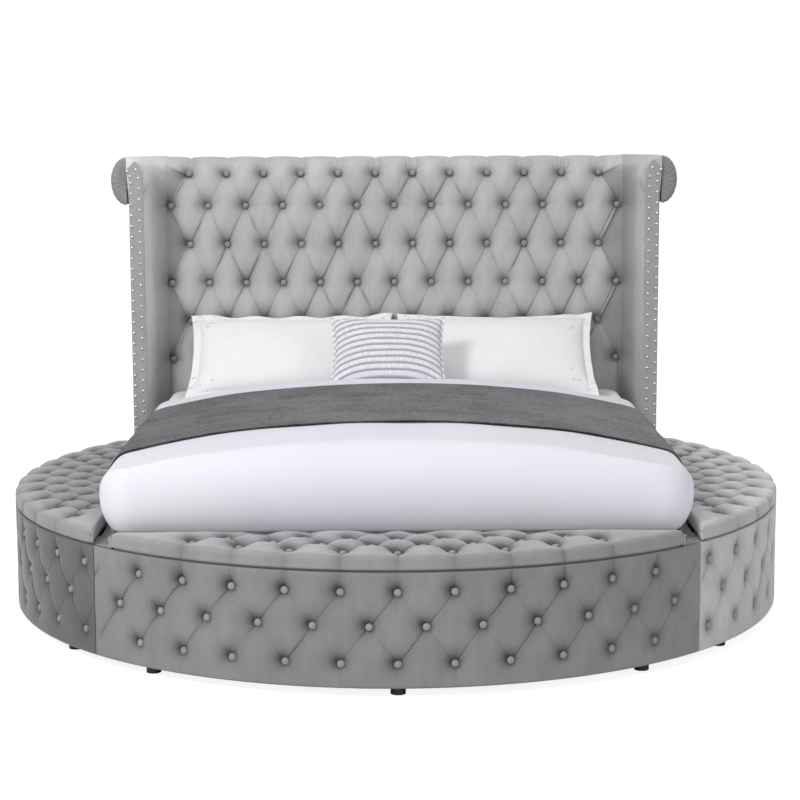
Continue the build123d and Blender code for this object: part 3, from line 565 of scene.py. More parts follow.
def padded_slab(cloth, u_range, v_range, u_round, v_round, thickness, spine_step, back_high=9.0):
    """Turns the flat cloth's edge back around the padding and closes the slab behind.
    The turned edge ends at the ranges, and the attribute free is 1 where buttons may pull the cloth."""
    free = cloth.verts.layers.float.new("free")
    dim = cloth.verts.layers.float.new("dim")
    for vert in cloth.verts:
        vert[free] = 1.0
    rim = rim_of(cloth)
    start = [vert.co.copy() for vert in rim]
    u_low, u_high, v_low, v_high = u_range[0], u_range[1], min(v_range), max(v_range)
    sides = []
    for place in start:
        side_u = (abs(place.x - (u_high - u_round)) < 1e-5) - (abs(place.x - (u_low + u_round)) < 1e-5)
        side_v = (abs(place.y - (v_high - v_round)) < 1e-5) - (abs(place.y - (v_low + v_round)) < 1e-5)
        sides.append((side_u, side_v))
    deeps = [max(u_round * abs(side_u), v_round * abs(side_v)) for side_u, side_v in sides]
    current = rim
    for degrees in (22.5, 45.0, 67.5, 90.0):
        over, under = math.sin(math.radians(degrees)), 1 - math.cos(math.radians(degrees))
        places = []
        for place, (side_u, side_v), deep in zip(start, sides, deeps):
            u, v = place.x + side_u * u_round * over, place.y + side_v * v_round * over
            places.append((u, v, -deep * under))
        current = ring(cloth, current, places)
        for vert, deep in zip(current, deeps):
            vert[free] = 1.0 - degrees / 90.0 if deep > 0.001 else 1.0
            # Painted shade: the cloth darkens where it turns back round the padding.
            vert[dim] = max(degrees - 40.0, 0) / 50.0 if deep > 0.001 else 0.0
    current = ring(cloth, current, [(vert.co.x, vert.co.y, -thickness) for vert in current])
    if back_high < v_high:
        places = [(vert.co.x, min(vert.co.y, back_high), -thickness) for vert in current]
        current = ring(cloth, current, places)
    count = max(2, round((u_high - u_low) / spine_step))
    inset = min(0.02, (u_high - u_low) / 8)
    spine_u = np.linspace(u_low + inset, u_high - inset, count + 1)
    spine = [cloth.verts.new((u, (v_low + min(v_high, back_high)) / 2, -thickness)) for u in spine_u]
    index = [int(round(np.interp(vert.co.x, spine_u, range(count + 1)))) for vert in current]
    for i, vert in enumerate(current):
        after = (i + 1) % len(current)
        here, there = index[i], index[after]
        cloth.faces.new((current[after], vert, spine[here]))
        step = 1 if there > here else -1
        for k in range(here, there, step):
            cloth.faces.new((current[after], spine[k], spine[k + step]))
    bmesh.ops.remove_doubles(cloth, verts=cloth.verts, dist=1.5e-4)
    return cloth


def placed(cloth, name, mapping, by_normals=False):
    """Ends the flat stage: every point of the cloth goes to its place on the bed. The cloth faces the way
    that the mapping lifts it, or along its own normals."""
    data = bpy.data.meshes.new(name)
    cloth.to_mesh(data)
    cloth.free()
    flat = np.zeros(len(data.vertices) * 3)
    data.vertices.foreach_get("co", flat)
    flat = flat.reshape(-1, 3)
    spots = np.asarray(mapping(flat))
    data.vertices.foreach_set("co", spots.ravel())
    data.update()
    piece = linked(name, data)
    ways = (np.asarray(mapping(flat + [0, 0, 0.001])) - spots) * 1000
    if by_normals:
        data.vertex_normals.foreach_get("vector", flat.reshape(-1))
        ways = flat
    set_out(piece, ways)
    return piece


def mirrored(piece, name):
    """A copy of a piece on the other side of the bed, with its faces outward."""
    data = piece.data.copy()
    data.transform(Matrix.Diagonal((-1, 1, 1, 1)))
    data.flip_normals()
    return linked(name, data)


# Covered buttons and nails. The buttons are domed metal shells covered in the same velvet, and the nails
# have polished domed heads. A node tree stands one such head on each point, along the way it faces.
heads, given, result = tree_of(
    "heads_on_points",
    [("Radius", "Float", 0.013), ("Height", "Float", 0.009), ("Material", "Material", None)],
)
round_form = {"Segments": 16, "Rings": 8, "Radius": given["Radius"]}
ball = node(heads, "GeometryNodeMeshUVSphere", round_form).outputs["Mesh"]
flat_share = math_of(heads, "DIVIDE", given["Height"], given["Radius"])
flat_scale = node(heads, "ShaderNodeCombineXYZ", {0: 1.0, 1: 1.0, 2: flat_share}).outputs[0]
dome = node(heads, "GeometryNodeTransform", {"Geometry": ball, "Scale": flat_scale}).outputs[0]
facing = {"Vector": held(heads, "facing", "FLOAT_VECTOR")}
aim = node(heads, "FunctionNodeAlignRotationToVector", facing, axis="Z").outputs[0]
points = node(heads, "GeometryNodeMeshToPoints", {0: given["Geometry"]}).outputs[0]
standing = {"Points": points, "Instance": dome, "Rotation": aim}
stood = node(heads, "GeometryNodeInstanceOnPoints", standing).outputs[0]
real = node(heads, "GeometryNodeRealizeInstances", {"Geometry": stood}).outputs[0]
smooth = node(heads, "GeometryNodeSetShadeSmooth", {"Geometry": real}).outputs[0]
coating = {"Geometry": smooth, "Material": given["Material"]}
heads.links.new(node(heads, "GeometryNodeSetMaterial", coating).outputs[0], result)


def heads_at(name, places, facings, radius, height, material):
    """One object of domed heads, each centred on its place."""
    made = mesh_of(name, places, [])
    attribute = made.data.attributes.new("facing", "FLOAT_VECTOR", "POINT")
    attribute.data.foreach_set("vector", np.asarray(facings, np.float32).ravel())
    return grown(made, heads, {"Radius": radius, "Height": height, "Material": material})


button_radius, button_height = 0.013, 0.0088


# The buttons get a darker copy of the velvet: painted shade for their sunken wells.
def buttons_at(name, places, facings):
    """One object of velvet-covered buttons, each centred on its place."""
    return heads_at(name, places, facings, button_radius, button_height, velvets["buttons"])


def upholster(piece, body, slot, *nodes):
    """The calls that tie a finished piece to the frame."""
    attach(piece, body)
    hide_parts(*nodes)


# Bench walls. The curved fronts are padded and covered in one length of velvet for each bench, with
# three rows of buttons. Fine pleats run between the buttons and up and down from them to the edges.
outer_radius = 1.460
wall_pad = 0.0296
wall_low, wall_high = 0.030, 0.4138
wall_rows = (0.1087, 0.2316, 0.3449)
wall_sunk = 0.0150
pitch = math.radians(7.3)
seam, seam_gap = math.radians(45.0), 0.0006
bench_end = 0.830
first_angle = {"front": math.radians(-36.5), "right": math.radians(-42.3)}
turn_of = {"front": -math.pi / 2, "right": 0.0}
covers = {
    "front": {"sweep": (-seam, seam), "shift": -1, "counts": (11, 12)},
    "right": {"sweep": (-seam, math.asin(bench_end / outer_radius)), "shift": 1, "counts": (11, 10)},
}
edge_round, seam_round = 0.010, 0.007
wall_draw = {
    "Rising_Share": 0.85,
    "Falling_Share": 0.34,
    "Upright_Share": 0.8,
    "Gather_Share": 0.8,
    "Pleat_Depth": 0.0105,
    "Crease_Width": 0.0032,
    "Puff_Width": 0.022,
    "Puff_Share": 0.24,
    "Button_Depth": 0.0165,
    "Button_Width": 0.019,
    "Funnel_Width": 0.040,
    "Lip_Height": 0.0020,
    "Crease_Shade": 0.42,
    "Nap_Shade": 0.85,
}


def spread(rows, beyond):
    """The rows with one more place past each end, where pleats run on to the cloth's edge."""
    wider = []
    for places in rows:
        keys = sorted(places)
        low_u, high_u, v = places[keys[0]][0], places[keys[-1]][0], places[keys[0]][1]
        wider.append({**places, keys[0] - 2: (low_u - beyond, v), keys[-1] + 2: (high_u + beyond, v)})
    return wider


for side, cover in covers.items():
    low, high = cover["sweep"]
    arc = (low * outer_radius + seam_gap, high * outer_radius - seam_gap)
    u_cut = (arc[0] + seam_round, arc[1] - seam_round)
    v_cut = (wall_low + edge_round, wall_high - edge_round)
    first = first_angle[side] * outer_radius
    cloth = cloth_lattice(pitch * outer_radius, first, np.array(wall_rows), u_cut, v_cut, 34)
    slab = padded_slab(cloth, arc, (wall_low, wall_high), seam_round, edge_round, wall_pad, 0.03)

    def onto_wall(points, turn=turn_of[side]):
        """Bends the flat slab round the bed."""
        angle = points[:, 0] / outer_radius + turn
        radius = outer_radius + points[:, 2]
        return np.stack([radius * np.cos(angle), radius * np.sin(angle), points[:, 1]], 1)

    def bent(run, deep=0.0):
        """A line of flat places on the wall."""
        return [tuple(place) for place in onto_wall(np.array([(u, v, -deep) for u, v in run]))]

    piece = placed(slab, f"{side}_wall_velvet", onto_wall)
    chance = np.random.default_rng(7)
    rows = []
    for row, height in enumerate(wall_rows):
        lean = cover["shift"] * (row % 2)
        count = cover["counts"][row % 2]
        places = {}
        for k in range(count):
            places[2 * k + lean] = (first + (k + lean / 2) * pitch * outer_radius, height)
        rows.append(places)
    flat = diamonds(spread(rows, pitch * outer_radius), chance, 0.0025, 0.0052)
    spots = [spot for places in rows for spot in places.values()]
    flat["Upright"] = []
    for u, v in rows[2].values():
        flat["Upright"].append([(u, v), (u, wall_high)])
    flat["Gather"] = wrinkles(spots, chance, 3, 0.02, 0.045)
    flat["Gather"] += wrinkles(rows[0].values(), chance, 1, 0.04, 0.07, 1.45, 1.55)
    flat["Gather"] += wrinkles(rows[2].values(), chance, 2, 0.03, 0.06, 0.35, 0.65)
    runs = {family: [bent(run) for run in found] for family, found in flat.items()}
    # The painted shadow beside each button lies toward this side.
    aslant = Vector((0.014, 0, -0.010)) if side == "front" else Vector((0.008, 0.013, -0.010))
    tufted(piece, runs, bent(spots), velvets[f"{side}_wall"], Nap_Shift=aslant, Nap_Width=0.029, **wall_draw)
    facing = [(x, y, 0.0) for x, y, z in bent(spots)]
    studs = buttons_at(f"{side}_wall_studs", bent(spots, wall_sunk), facing)
    made = [(side, piece, studs)]
    if side == "right":
        other = mirrored(piece, "left_wall_velvet")
        other.data.materials[0] = velvets["left_wall"]
        made.append(("left", other, mirrored(studs, "left_wall_studs")))
    for name, skin, buttons in made:
        upholster(skin, "bed_frame", "velvet", f"{name}_wall_cover")
        upholster(buttons, "bed_frame", "button_velvet", f"{name}_wall_buttons")

# Lids. A plywood board under a thick pad, wrapped in velvet that is rolled over the round edge. Rows of
# buttons follow the curve, and each outer button's pleat runs on over the rim to the gap below.
lid_low, rim_top, crown = 0.4146, 0.4724, 0.0175
lid_inside = 0.4298
rim_round, rear_round, end_round = 0.024, 0.015, 0.020
lid_first, lid_gap, lid_rows = 1.386, 0.082, 5
crown_runs = np.array([0.05, 0.035, 0.04, 0.04])
button_margin = 0.046
rim_shade, shade_start, shade_run = 0.34, 0.030, 0.028
bevel_run, bevel_rise, board_inset = 0.0095, 0.0095, 0.0135
lid_sunk = 0.0255
lids = {
    "front": {"rear": 1.0816, "ends": (-0.972, 0.972)},
    "right": {"rear": 1.0316, "ends": (-1.022, 0.827)},
}
rim_rows = (0.001, 0.0035, 0.008, 0.014, 0.020)
end_rows = (0.0007, 0.003, 0.007, 0.011, 0.016)
# The lid's side below its top: a height over its underside, as a share of the top's height where it is 0.1
# or more, then an inset, and how far the buttons may pull there.
lid_steps = (
    (0.72, 0, 1.0),
    (0.42, 0, 0.9),
    (bevel_rise, 0, 0.3),
    (0, bevel_run, 0),
    (0, board_inset, 0),
    (lid_inside - lid_low, board_inset, 0),
)
lid_draw = {
    "Rising_Share": 0.9,
    "Falling_Share": 0.85,
    "Upright_Share": 0.6,
    "Gather_Share": 0.8,
    "Pleat_Depth": 0.0175,
    "Crease_Width": 0.004,
    "Crease_Shade": 0.50,
    "Puff_Width": 0.028,
    "Button_Depth": 0.022,
    "Button_Width": 0.022,
    "Funnel_Width": 0.046,
    "Nap_Width": 0.034,
    "Nap_Shade": 0.95,
    "Lip_Height": 0.0022,
}


def eased(share):
    """A smooth step from 0 to 1."""
    share = np.clip(share, 0, 1)
    return share * share * (3 - 2 * share)


def lid_edges(lid, x, y):
    """How far a place lies inside each edge of the lid, the edges' radii, and their inward directions."""
    far = math.hypot(x, y)
    low, high = lid["ends"]
    inside = np.array([outer_radius - seam_gap - far, x - lid["rear"], y - low, high - y])
    radii = np.array([rim_round, rear_round, end_round, end_round])
    ways = np.array([(-x / far, -y / far), (1, 0), (0, 1), (0, -1)])
    return inside, radii, ways


def rounded(lid, x, y):
    """A place on the lid's top with its corners rounded in plan, and its height, which rises from every
    edge toward the crown."""
    inside, radii, ways = lid_edges(lid, x, y)
    over = np.clip(1 - inside / radii, 0, 1)
    reach = float(np.hypot.reduce(over))
    both = np.nonzero(over > 0)[0]
    if len(both) == 2:
        squared = over * over.max() / reach
        shift = np.linalg.solve(ways[both], (radii * (over - squared))[both])
        x, y = x + shift[0], y + shift[1]
        over, reach = squared, float(np.hypot.reduce(squared))
    bend = float((over**2 * radii).sum() / reach**2) if reach else 0.0
    drop = bend * (1 - math.sqrt(max(1 - min(reach, 1.0) ** 2, 0)))
    past = np.maximum(inside - radii, 0) / crown_runs
    return x, y, rim_top + crown * float(np.prod(1 - np.exp(-past))) - drop


for side, lid in lids.items():
    low, high = lid["ends"]
    radii = lid_first - lid_gap * np.arange(6)
    span = (math.asin(low / outer_radius) * 1.28, math.asin(high / outer_radius) * 1.28)
    first = first_angle[side] * lid_first
    v_cut = (lid["rear"] * 0.9, outer_radius - seam_gap)
    cloth = cloth_lattice(pitch * lid_first, first, radii, np.array(span) * lid_first, v_cut, 24)
    creased(cloth, (0, v_cut[1], 0), (0, 1, 0), rim_rows)
    for vert in cloth.verts:
        angle, radius = vert.co.x / lid_first, vert.co.y
        vert.co = (radius * math.cos(angle), radius * math.sin(angle), 0)
    ends = [((lid["rear"], 0, 0), (-1, 0, 0)), ((0, low, 0), (0, -1, 0)), ((0, high, 0), (0, 1, 0))]
    for place, outward in ends:
        cut(cloth, place, outward)
        creased(cloth, place, outward, end_rows)
    bmesh.ops.remove_doubles(cloth, verts=cloth.verts, dist=2e-5)
    if sum(face.normal.z for face in cloth.faces) < 0:
        bmesh.ops.reverse_faces(cloth, faces=cloth.faces)
    free = cloth.verts.layers.float.new("free")
    dim = cloth.verts.layers.float.new("dim")
    for vert in cloth.verts:
        vert[free] = 1.0
        far = math.hypot(vert.co.x, vert.co.y)
        # Painted shade: the top darkens toward the rolled rim.
        vert[dim] = rim_shade * float(eased((far - outer_radius + shade_start) / shade_run))
        vert.co = rounded(lid, vert.co.x, vert.co.y)
    rim = rim_of(cloth)
    start = [vert.co.copy() for vert in rim]
    aside = []
    for i, place in enumerate(start):
        along = start[(i + 2) % len(start)] - start[i - 2]
        aside.append(Vector((along.y, -along.x, 0)).normalized())
    current = rim
    for rise, inset, freedom in lid_steps:
        places = []
        for place, way in zip(start, aside):
            z = lid_low + (rise if rise < 0.1 else rise * (place.z - lid_low))
            x = max(place.x - way.x * inset, lid["rear"] + inset)
            y = min(max(place.y - way.y * inset, low + inset), high - inset)
            places.append((x, y, z))
        current = ring(cloth, current, places)
        for vert in current:
            vert[free] = freedom
            # Painted shade: the lid's sides take the rim's shade, and its underside at the bottom edge is
            # fully darkened as the shadow in the gap below the lid.
            vert[dim] = 1.0 if rise <= bevel_rise and inset else rim_shade
    cloth.faces.new(list(reversed(current)))

    def turned(points, turn=turn_of[side]):
        """Turns a lid from +X to its place."""
        x, y, z = points.T
        side_x, side_y = x * math.cos(turn) - y * math.sin(turn), x * math.sin(turn) + y * math.cos(turn)
        return np.stack([side_x, side_y, z], 1)

    def on_lid(run, lid=lid, deep=0.0):
        """A line of flat places, distance along the arc and radius, on the lid's undrawn top."""
        places = []
        for u, v in run:
            x, y = v * math.cos(u / lid_first), v * math.sin(u / lid_first)
            places.append((x, y, rounded(lid, x, y)[2] - deep))
        return [tuple(place) for place in turned(np.array(places))]

    piece = placed(cloth, f"{side}_lid_velvet", turned, by_normals=True)
    chance = np.random.default_rng(11)
    rows = []
    for row in range(lid_rows):
        radius = lid_first - row * lid_gap
        places = {}
        for step in range(26):
            angle = first_angle[side] + (step - 1 + row % 2 / 2) * pitch
            x, y = radius * math.cos(angle), radius * math.sin(angle)
            if x > lid["rear"] + button_margin and low + button_margin < y < high - button_margin:
                places[2 * step + row % 2] = (angle * lid_first, radius)
        if places:
            rows.append(places)
    flat = diamonds(rows, chance, 0.002, 0.006)
    spots = [spot for places in rows for spot in places.values()]
    flat["Gather"] = wrinkles(spots, chance, 3, 0.02, 0.045)
    flat["Upright"] = []
    for row, places in enumerate(rows):
        below = rows[row + 1] if row + 1 < len(rows) else {}
        for key, (u, v) in places.items():
            if key - 1 not in below and key + 1 not in below:
                edge = (lid["rear"] + 0.003) / math.cos(u / lid_first)
                flat["Upright"].append([(u, r) for r in np.linspace(v, edge, 4)])
    shirred = {"front": (high - 0.07, high - 0.004, 8), "right": (low + 0.004, low + 0.06, 6)}[side]
    for r in np.linspace(lid["rear"] + 0.20, outer_radius - 0.12, shirred[2]):
        first_u = lid_first * math.asin(shirred[0] / r)
        last_u = lid_first * math.asin(shirred[1] / r)
        flat["Upright"].append([(first_u, r + 0.012), (last_u, r)])
    runs = {family: [on_lid(run) for run in found] for family, found in flat.items()}
    for u, v in rows[0].values():
        over = on_lid([(u, r) for r in np.linspace(v, outer_radius - 2 * seam_gap, 12)])
        over.append((over[-1][0], over[-1][1], lid_low))
        runs["Upright"].append(over)
    # The painted shadow beside each button lies toward this side.
    aslant = Vector((0.010, -0.010, 0)) if side == "front" else Vector((0.012, -0.006, 0))
    tufted(piece, runs, on_lid(spots), velvets[f"{side}_lid"], Nap_Shift=aslant, **lid_draw)
    studs = buttons_at(f"{side}_lid_studs", on_lid(spots, deep=lid_sunk), [(0, 0, 1)] * len(spots))
    made = [(side, piece, studs)]
    if side == "right":
        other = mirrored(piece, "left_lid_velvet")
        other.data.materials[0] = velvets["left_lid"]
        made.append(("left", other, mirrored(studs, "left_lid_studs")))
    for name, skin, buttons in made:
        upholster(skin, f"{name}_lid", "velvet", f"{name}_lid_pad")
        upholster(buttons, f"{name}_lid", "button_velvet", f"{name}_lid_buttons")

# Headboard. A deep pad with a rolled top on a plywood panel, drawn in by six rows of buttons. One length
# of velvet runs on from the pad into the hollow of each wing and over the wing's rolled top.
face_place = 1.050
roll_tall = 0.100
roll_height = 1.575
pad_half = 0.994
head_thick, head_sunk = 0.0596, 0.0275
roll_wide, roll_taper = 0.100, 0.029
tip = (1.064, 0.850)
wing_outer, panel_face = 1.126, 1.110
pad_low = 0.346
column_gap, column_count = 0.162, 12
button_heights = [1.601, 1.461, 1.293, 1.125, 0.957, 0.789]
bend = [(pad_half, face_place), (1.048, face_place), (1.071, 0.985), tip]


def cubic(t, order=0):
    """The wing's hollow in plan from the pad to its tip, or its direction."""
    t = np.asarray(t)[:, None]
    a, b, c, d = (np.array(point) for point in bend)
    if order:
        return 3 * (1 - t) ** 2 * (b - a) + 6 * (1 - t) * t * (c - b) + 3 * t**2 * (d - c)
    return (1 - t) ** 3 * a + 3 * (1 - t) ** 2 * t * b + 3 * (1 - t) * t**2 * c + t**3 * d


fine = np.linspace(0, 1, 400)
stations = cubic(fine)
lengths = np.concatenate([[0], np.cumsum(np.hypot(*np.diff(stations, axis=0).T))])
wing_run = lengths[-1]
turns = cubic(fine, 1)
turns = turns / np.hypot(turns[:, 0], turns[:, 1])[:, None]


def plan(u):
    """Place and backward direction of the cloth's line in plan, at a distance along it from the middle."""
    side = np.sign(u) + (u == 0)
    far = np.maximum(np.abs(u) - pad_half, 0)
    x = np.where(far > 0, np.interp(far, lengths, stations[:, 0]), np.abs(u))
    y = np.where(far > 0, np.interp(far, lengths, stations[:, 1]), face_place)
    run_x = np.interp(far, lengths, turns[:, 0])
    run_y = np.interp(far, lengths, turns[:, 1])
    return x * side, y, -run_y * side, run_x


hollow_depth, hollow_step, hollow_run = 0.016, 0.016, 0.09
hollow_top, hollow_close = 1.60, 0.06
hollow_heights = sorted(button_heights) + [hollow_top + hollow_close]
hollow_edges = [0.972, 0.891, 0.972, 0.891, 0.972, 0.891, 1.02]


def hollow(u, v):
    """Depth of the drawn-back band outside the outermost buttons."""
    edge = np.interp(v, hollow_heights, hollow_edges)
    begun = eased((np.abs(u) - edge) / hollow_step)
    past_pad = eased((np.abs(u) - pad_half) / hollow_run)
    return hollow_depth * begun * (1 - past_pad) * (1 - eased((v - hollow_top) / hollow_close))


def section(u, v, w):
    """Offset behind the cloth's line and height over the floor, at a length v up the cloth and w off it."""
    wide = roll_wide - roll_taper * np.clip((np.abs(u) - pad_half) / wing_run, 0, 1)
    w = w - hollow(u, v)
    turn = np.clip((v - roll_height) / roll_tall, 0, None)
    straight = v <= roll_height
    back = np.where(straight, -w, wide - (wide + w) * np.cos(turn))
    up = np.where(straight, v, roll_height + (roll_tall + w) * np.sin(turn))
    return back, up


def onto_head(points):
    """Hangs the flat cloth on the headboard and its wings."""
    u, v, w = points.T
    x, y, back_x, back_y = plan(u)
    back, up = section(u, v, w)
    return np.stack([x + back_x * back, y + back_y * back, up], 1)


def hung(run):
    """A line of flat places on the headboard's undrawn surface."""
    return [tuple(place) for place in onto_head(np.array([(u, v, 0.0) for u, v in run]))]


head_rows = []
for row, height in enumerate(button_heights):
    count = column_count + row % 2
    left = -(count - 1) * column_gap / 2
    head_rows.append({2 * k - row % 2: (left + k * column_gap, height) for k in range(count)})
wrap = roll_height + roll_tall * (math.pi + math.acos(0.2))
chance = np.random.default_rng(5)
flat = diamonds(head_rows, chance, 0.0035, 0.0062)
spots = [spot for places in head_rows for spot in places.values()]
flat["Upright"], flat["Gather"] = [], wrinkles(spots, chance, 2, 0.02, 0.05)
for u, v in head_rows[0].values():
    for lean in (-0.030, -0.014, 0.0, 0.015, 0.028):
        slant = lean + chance.normal(0, 0.003)
        top = wrap if lean == 0 else roll_height + roll_tall * (1.6 - abs(lean) * 12)
        shares = np.linspace(0, 1, 22)
        flat["Upright"].append([(u + slant * min(t * 2.2, 1), v + (top - v) * t) for t in shares])
for u, v in head_rows[-1].values():
    flat["Upright"].append([(u, v), (u, pad_low + 0.01)])
flat["Gather"] += wrinkles(head_rows[1].values(), chance, 4, 0.04, 0.085, 0.4, 0.6)
flat["Gather"] += wrinkles(head_rows[1].values(), chance, 2, 0.05, 0.08, -0.04, 0.04)
flat["Gather"] += wrinkles(head_rows[1].values(), chance, 2, 0.05, 0.08, 0.96, 1.04)
runs = {family: [hung(run) for run in found] for family, found in flat.items()}
head_draw = {
    "Rising_Share": 0.95,
    "Falling_Share": 0.72,
    "Upright_Share": 0.6,
    "Gather_Share": 0.8,
    "Pleat_Depth": 0.017,
    "Crease_Width": 0.0048,
    "Puff_Width": 0.036,
    "Gather_Reach": 0.06,
    "Button_Depth": 0.026,
    "Button_Width": 0.026,
    "Funnel_Width": 0.060,
    "Lip_Height": 0.0030,
    "Nap_Shift": Vector((0.018, 0, -0.012)),
    "Nap_Width": 0.034,
}
low_round, back_end = 0.012, wrap - 0.002
first = head_rows[-1][min(head_rows[-1])][0]
u_range, v_cut = (-pad_half, pad_half), (pad_low + low_round, back_end)
cloth = cloth_lattice(column_gap, first, np.array(button_heights[::-1]), u_range, v_cut, 30)
crowded = [edge for edge in cloth.edges if all(1.59 < vert.co.y < roll_height + 0.2 for vert in edge.verts)]
bmesh.ops.subdivide_edges(cloth, edges=crowded, cuts=1, use_grid_fill=True)
creased(cloth, (pad_half, 0, 0), (1, 0, 0), (0.006, 0.012))
creased(cloth, (-pad_half, 0, 0), (-1, 0, 0), (0.006, 0.012))
v_range, back_high = (pad_low, back_end + low_round), roll_height + 0.02
slab = padded_slab(cloth, u_range, v_range, 1e-4, low_round, head_thick, 0.05, back_high)
# Painted shade: the cloth darkens as it is drawn back into the hollow band outside the outermost buttons.
dim = slab.verts.layers.float["dim"]
for vert in slab.verts:
    if vert.co.z > -0.001:
        vert[dim] = 0.42 * float(hollow(vert.co.x, vert.co.y)) / hollow_depth
pad = placed(slab, "headboard_velvet", onto_head)
tufted(pad, runs, hung(spots), velvet, **head_draw)
pad.data.set_sharp_from_angle(angle=math.radians(60))
upholster(pad, "bed_frame", "velvet", "headboard_pad")
places = [(x, y + head_sunk, z) for x, y, z in hung(spots)]
studs = buttons_at("headboard_studs", places, [(0, -1, 0)] * len(spots))
upholster(studs, "bed_frame", "button_velvet", "headboard_buttons")

# Wings. Each is a boarded side with a padded hollow face, whose top rolls outwards. A short pleat or two
# near the top takes up the cloth where the roll begins.
wing_low = 0.030
side_heights = (1.478, 1.2, 0.8, 0.4, wing_low)
# Painted shade on the wings' velvet: darker near the pad, where the wing's lighter copy of the velvet meets
# the pad's, in the drawn-back band, and on the wing's back and outer side.
seam_dim, seam_fade, band_dim, side_dim = 0.34, 0.11, 0.32, 0.42


def tube(name, sections, material, outs=None, dims=None):
    """A closed body through equal rings of points, with capped ends and its faces outward."""
    count, size = len(sections), len(sections[0])
    shape = bmesh.new()
    outward = shape.verts.layers.float_vector.new("out")
    free = shape.verts.layers.float.new("free")
    dim = shape.verts.layers.float.new("dim")
    verts = [shape.verts.new(place) for ring_points in sections for place in ring_points]
    for vert, way, shaded in zip(verts, outs or [], dims or []):
        vert[outward] = way
        vert[free] = 1.0
        vert[dim] = shaded
    for i in range(count - 1):
        for j in range(size):
            here, after = i * size + j, i * size + (j + 1) % size
            shape.faces.new([verts[n] for n in (here, after, after + size, here + size)])
    shape.faces.new(verts[size - 1 :: -1])
    shape.faces.new(verts[(count - 1) * size :])
    bmesh.ops.remove_doubles(shape, verts=shape.verts, dist=1e-6)
    bmesh.ops.recalc_face_normals(shape, faces=shape.faces)
    data = bpy.data.meshes.new(name)
    shape.to_mesh(data)
    shape.free()
    data.materials.append(material)
    data.shade_smooth()
    return linked(name, data)


def both_sides(piece, kind):
    """The right piece and its mirror image on the left, with their sides."""
    return (("right", piece), ("left", mirrored(piece, f"left_{kind}_velvet")))


sections, outs, dims = [], [], []
over_roll = roll_height + roll_tall * np.linspace(0.08, math.pi / 2, 14)
heights = np.concatenate([np.linspace(wing_low, 0.62, 60), np.linspace(0.624, roll_height, 240), over_roll])
for u in np.linspace(pad_half + 1e-4, pad_half + wing_run, 48):
    x, y, back_x, back_y = (float(value[0]) for value in plan(np.array([u])))
    flat_points = np.stack([np.full(len(heights), u), heights, np.zeros(len(heights))], 1)
    front = onto_head(flat_points)
    lifted = onto_head(flat_points + [0, 0, 0.001])
    reach_x = (wing_outer - x) / back_x if back_x > 1e-6 else 1e9
    reach_y = (panel_face - y) / back_y if back_y > 1e-6 else 1e9
    outer = min(reach_x, reach_y)
    under = max(min(outer, 0.09), 0.02)
    top_back = float(section(np.array([u]), heights[-1:], np.zeros(1))[0][0])
    ring_points = [tuple(place) for place in front]
    behind = [(top_back, 1.62), (under, 1.50)] + [(outer, z) for z in side_heights]
    ring_points += [(x + back_x * b, y + back_y * b, z) for b, z in behind]
    sections.append(ring_points)
    outs += [tuple(way) for way in (lifted - front) * 1000] + [(0, 0, 0)] * len(behind)
    seam_shade = seam_dim * (1 - eased((u - pad_half) / seam_fade))
    band = hollow(np.full(len(heights), u), heights) / hollow_depth
    dims += list(seam_shade + band_dim * band) + [side_dim] * len(behind)
wing = tube("right_wing_velvet", sections, velvet, outs, dims)
tucks = []
for near_u, near_v, far_u, far_v in ((0.12, 1.605, 0.20, 1.63), (0.10, 1.53, 0.20, 1.515)):
    tucks.append(hung([(pad_half + near_u, near_v), (pad_half + far_u, far_v)]))
tufted(wing, {**runs, "Upright": tucks}, hung(spots), velvet, **{**head_draw, "Upright_Share": 1.4})
wing.data.set_sharp_from_angle(angle=math.radians(60))
for name, piece in both_sides(wing, "wing"):
    piece.data.materials[0] = velvets[f"{name}_wing"]
    upholster(piece, "bed_frame", "velvet", f"{name}_wing")

# Scrolls. The rolled tops curl out over the wings' sides, and their velvet is gathered into small radial
# pleats that fan out from the middle of each front.
fan, curl = 11, 0.84
edge_bulge, middle_dip, front_deep, front_swell = 0.014, 0.006, 0.0035, 0.02
round_start, round_run = 0.75, 0.25
along_swell, swell_fade = 0.0050, 4.5
tip_wide = roll_wide - roll_taper
turns_out = np.linspace(math.pi / 2, 1.5 * math.pi, 12 * fan + 1)
wave = np.abs(np.sin((turns_out - math.pi / 2) * fan)) ** 0.8 - 0.6
sections = []
for size in (0.04, 0.15, 0.3, 0.45, 0.6, 0.72, 0.82, 0.9, 0.96):
    turned_back = 1 - math.sqrt(1 - max(size - round_start, 0) ** 2 / round_run**2)
    rounding = edge_bulge * turned_back + middle_dip * (1 - size) ** 2
    ring_points = []
    for turn, ripple in zip(turns_out, wave):
        deep = rounding - front_deep * ripple * math.sin(math.pi * min(size * 1.1, 1) / 2) + front_deep
        grown_out = size + front_swell * ripple * size
        x = tip[0] + tip_wide * (1 - curl * grown_out * math.cos(turn))
        ring_points.append((x, tip[1] + deep, roll_height + roll_tall * grown_out * math.sin(turn)))
    ring_points.append((tip[0] + tip_wide, tip[1] + rounding + front_deep, roll_height))
    sections.append(ring_points)
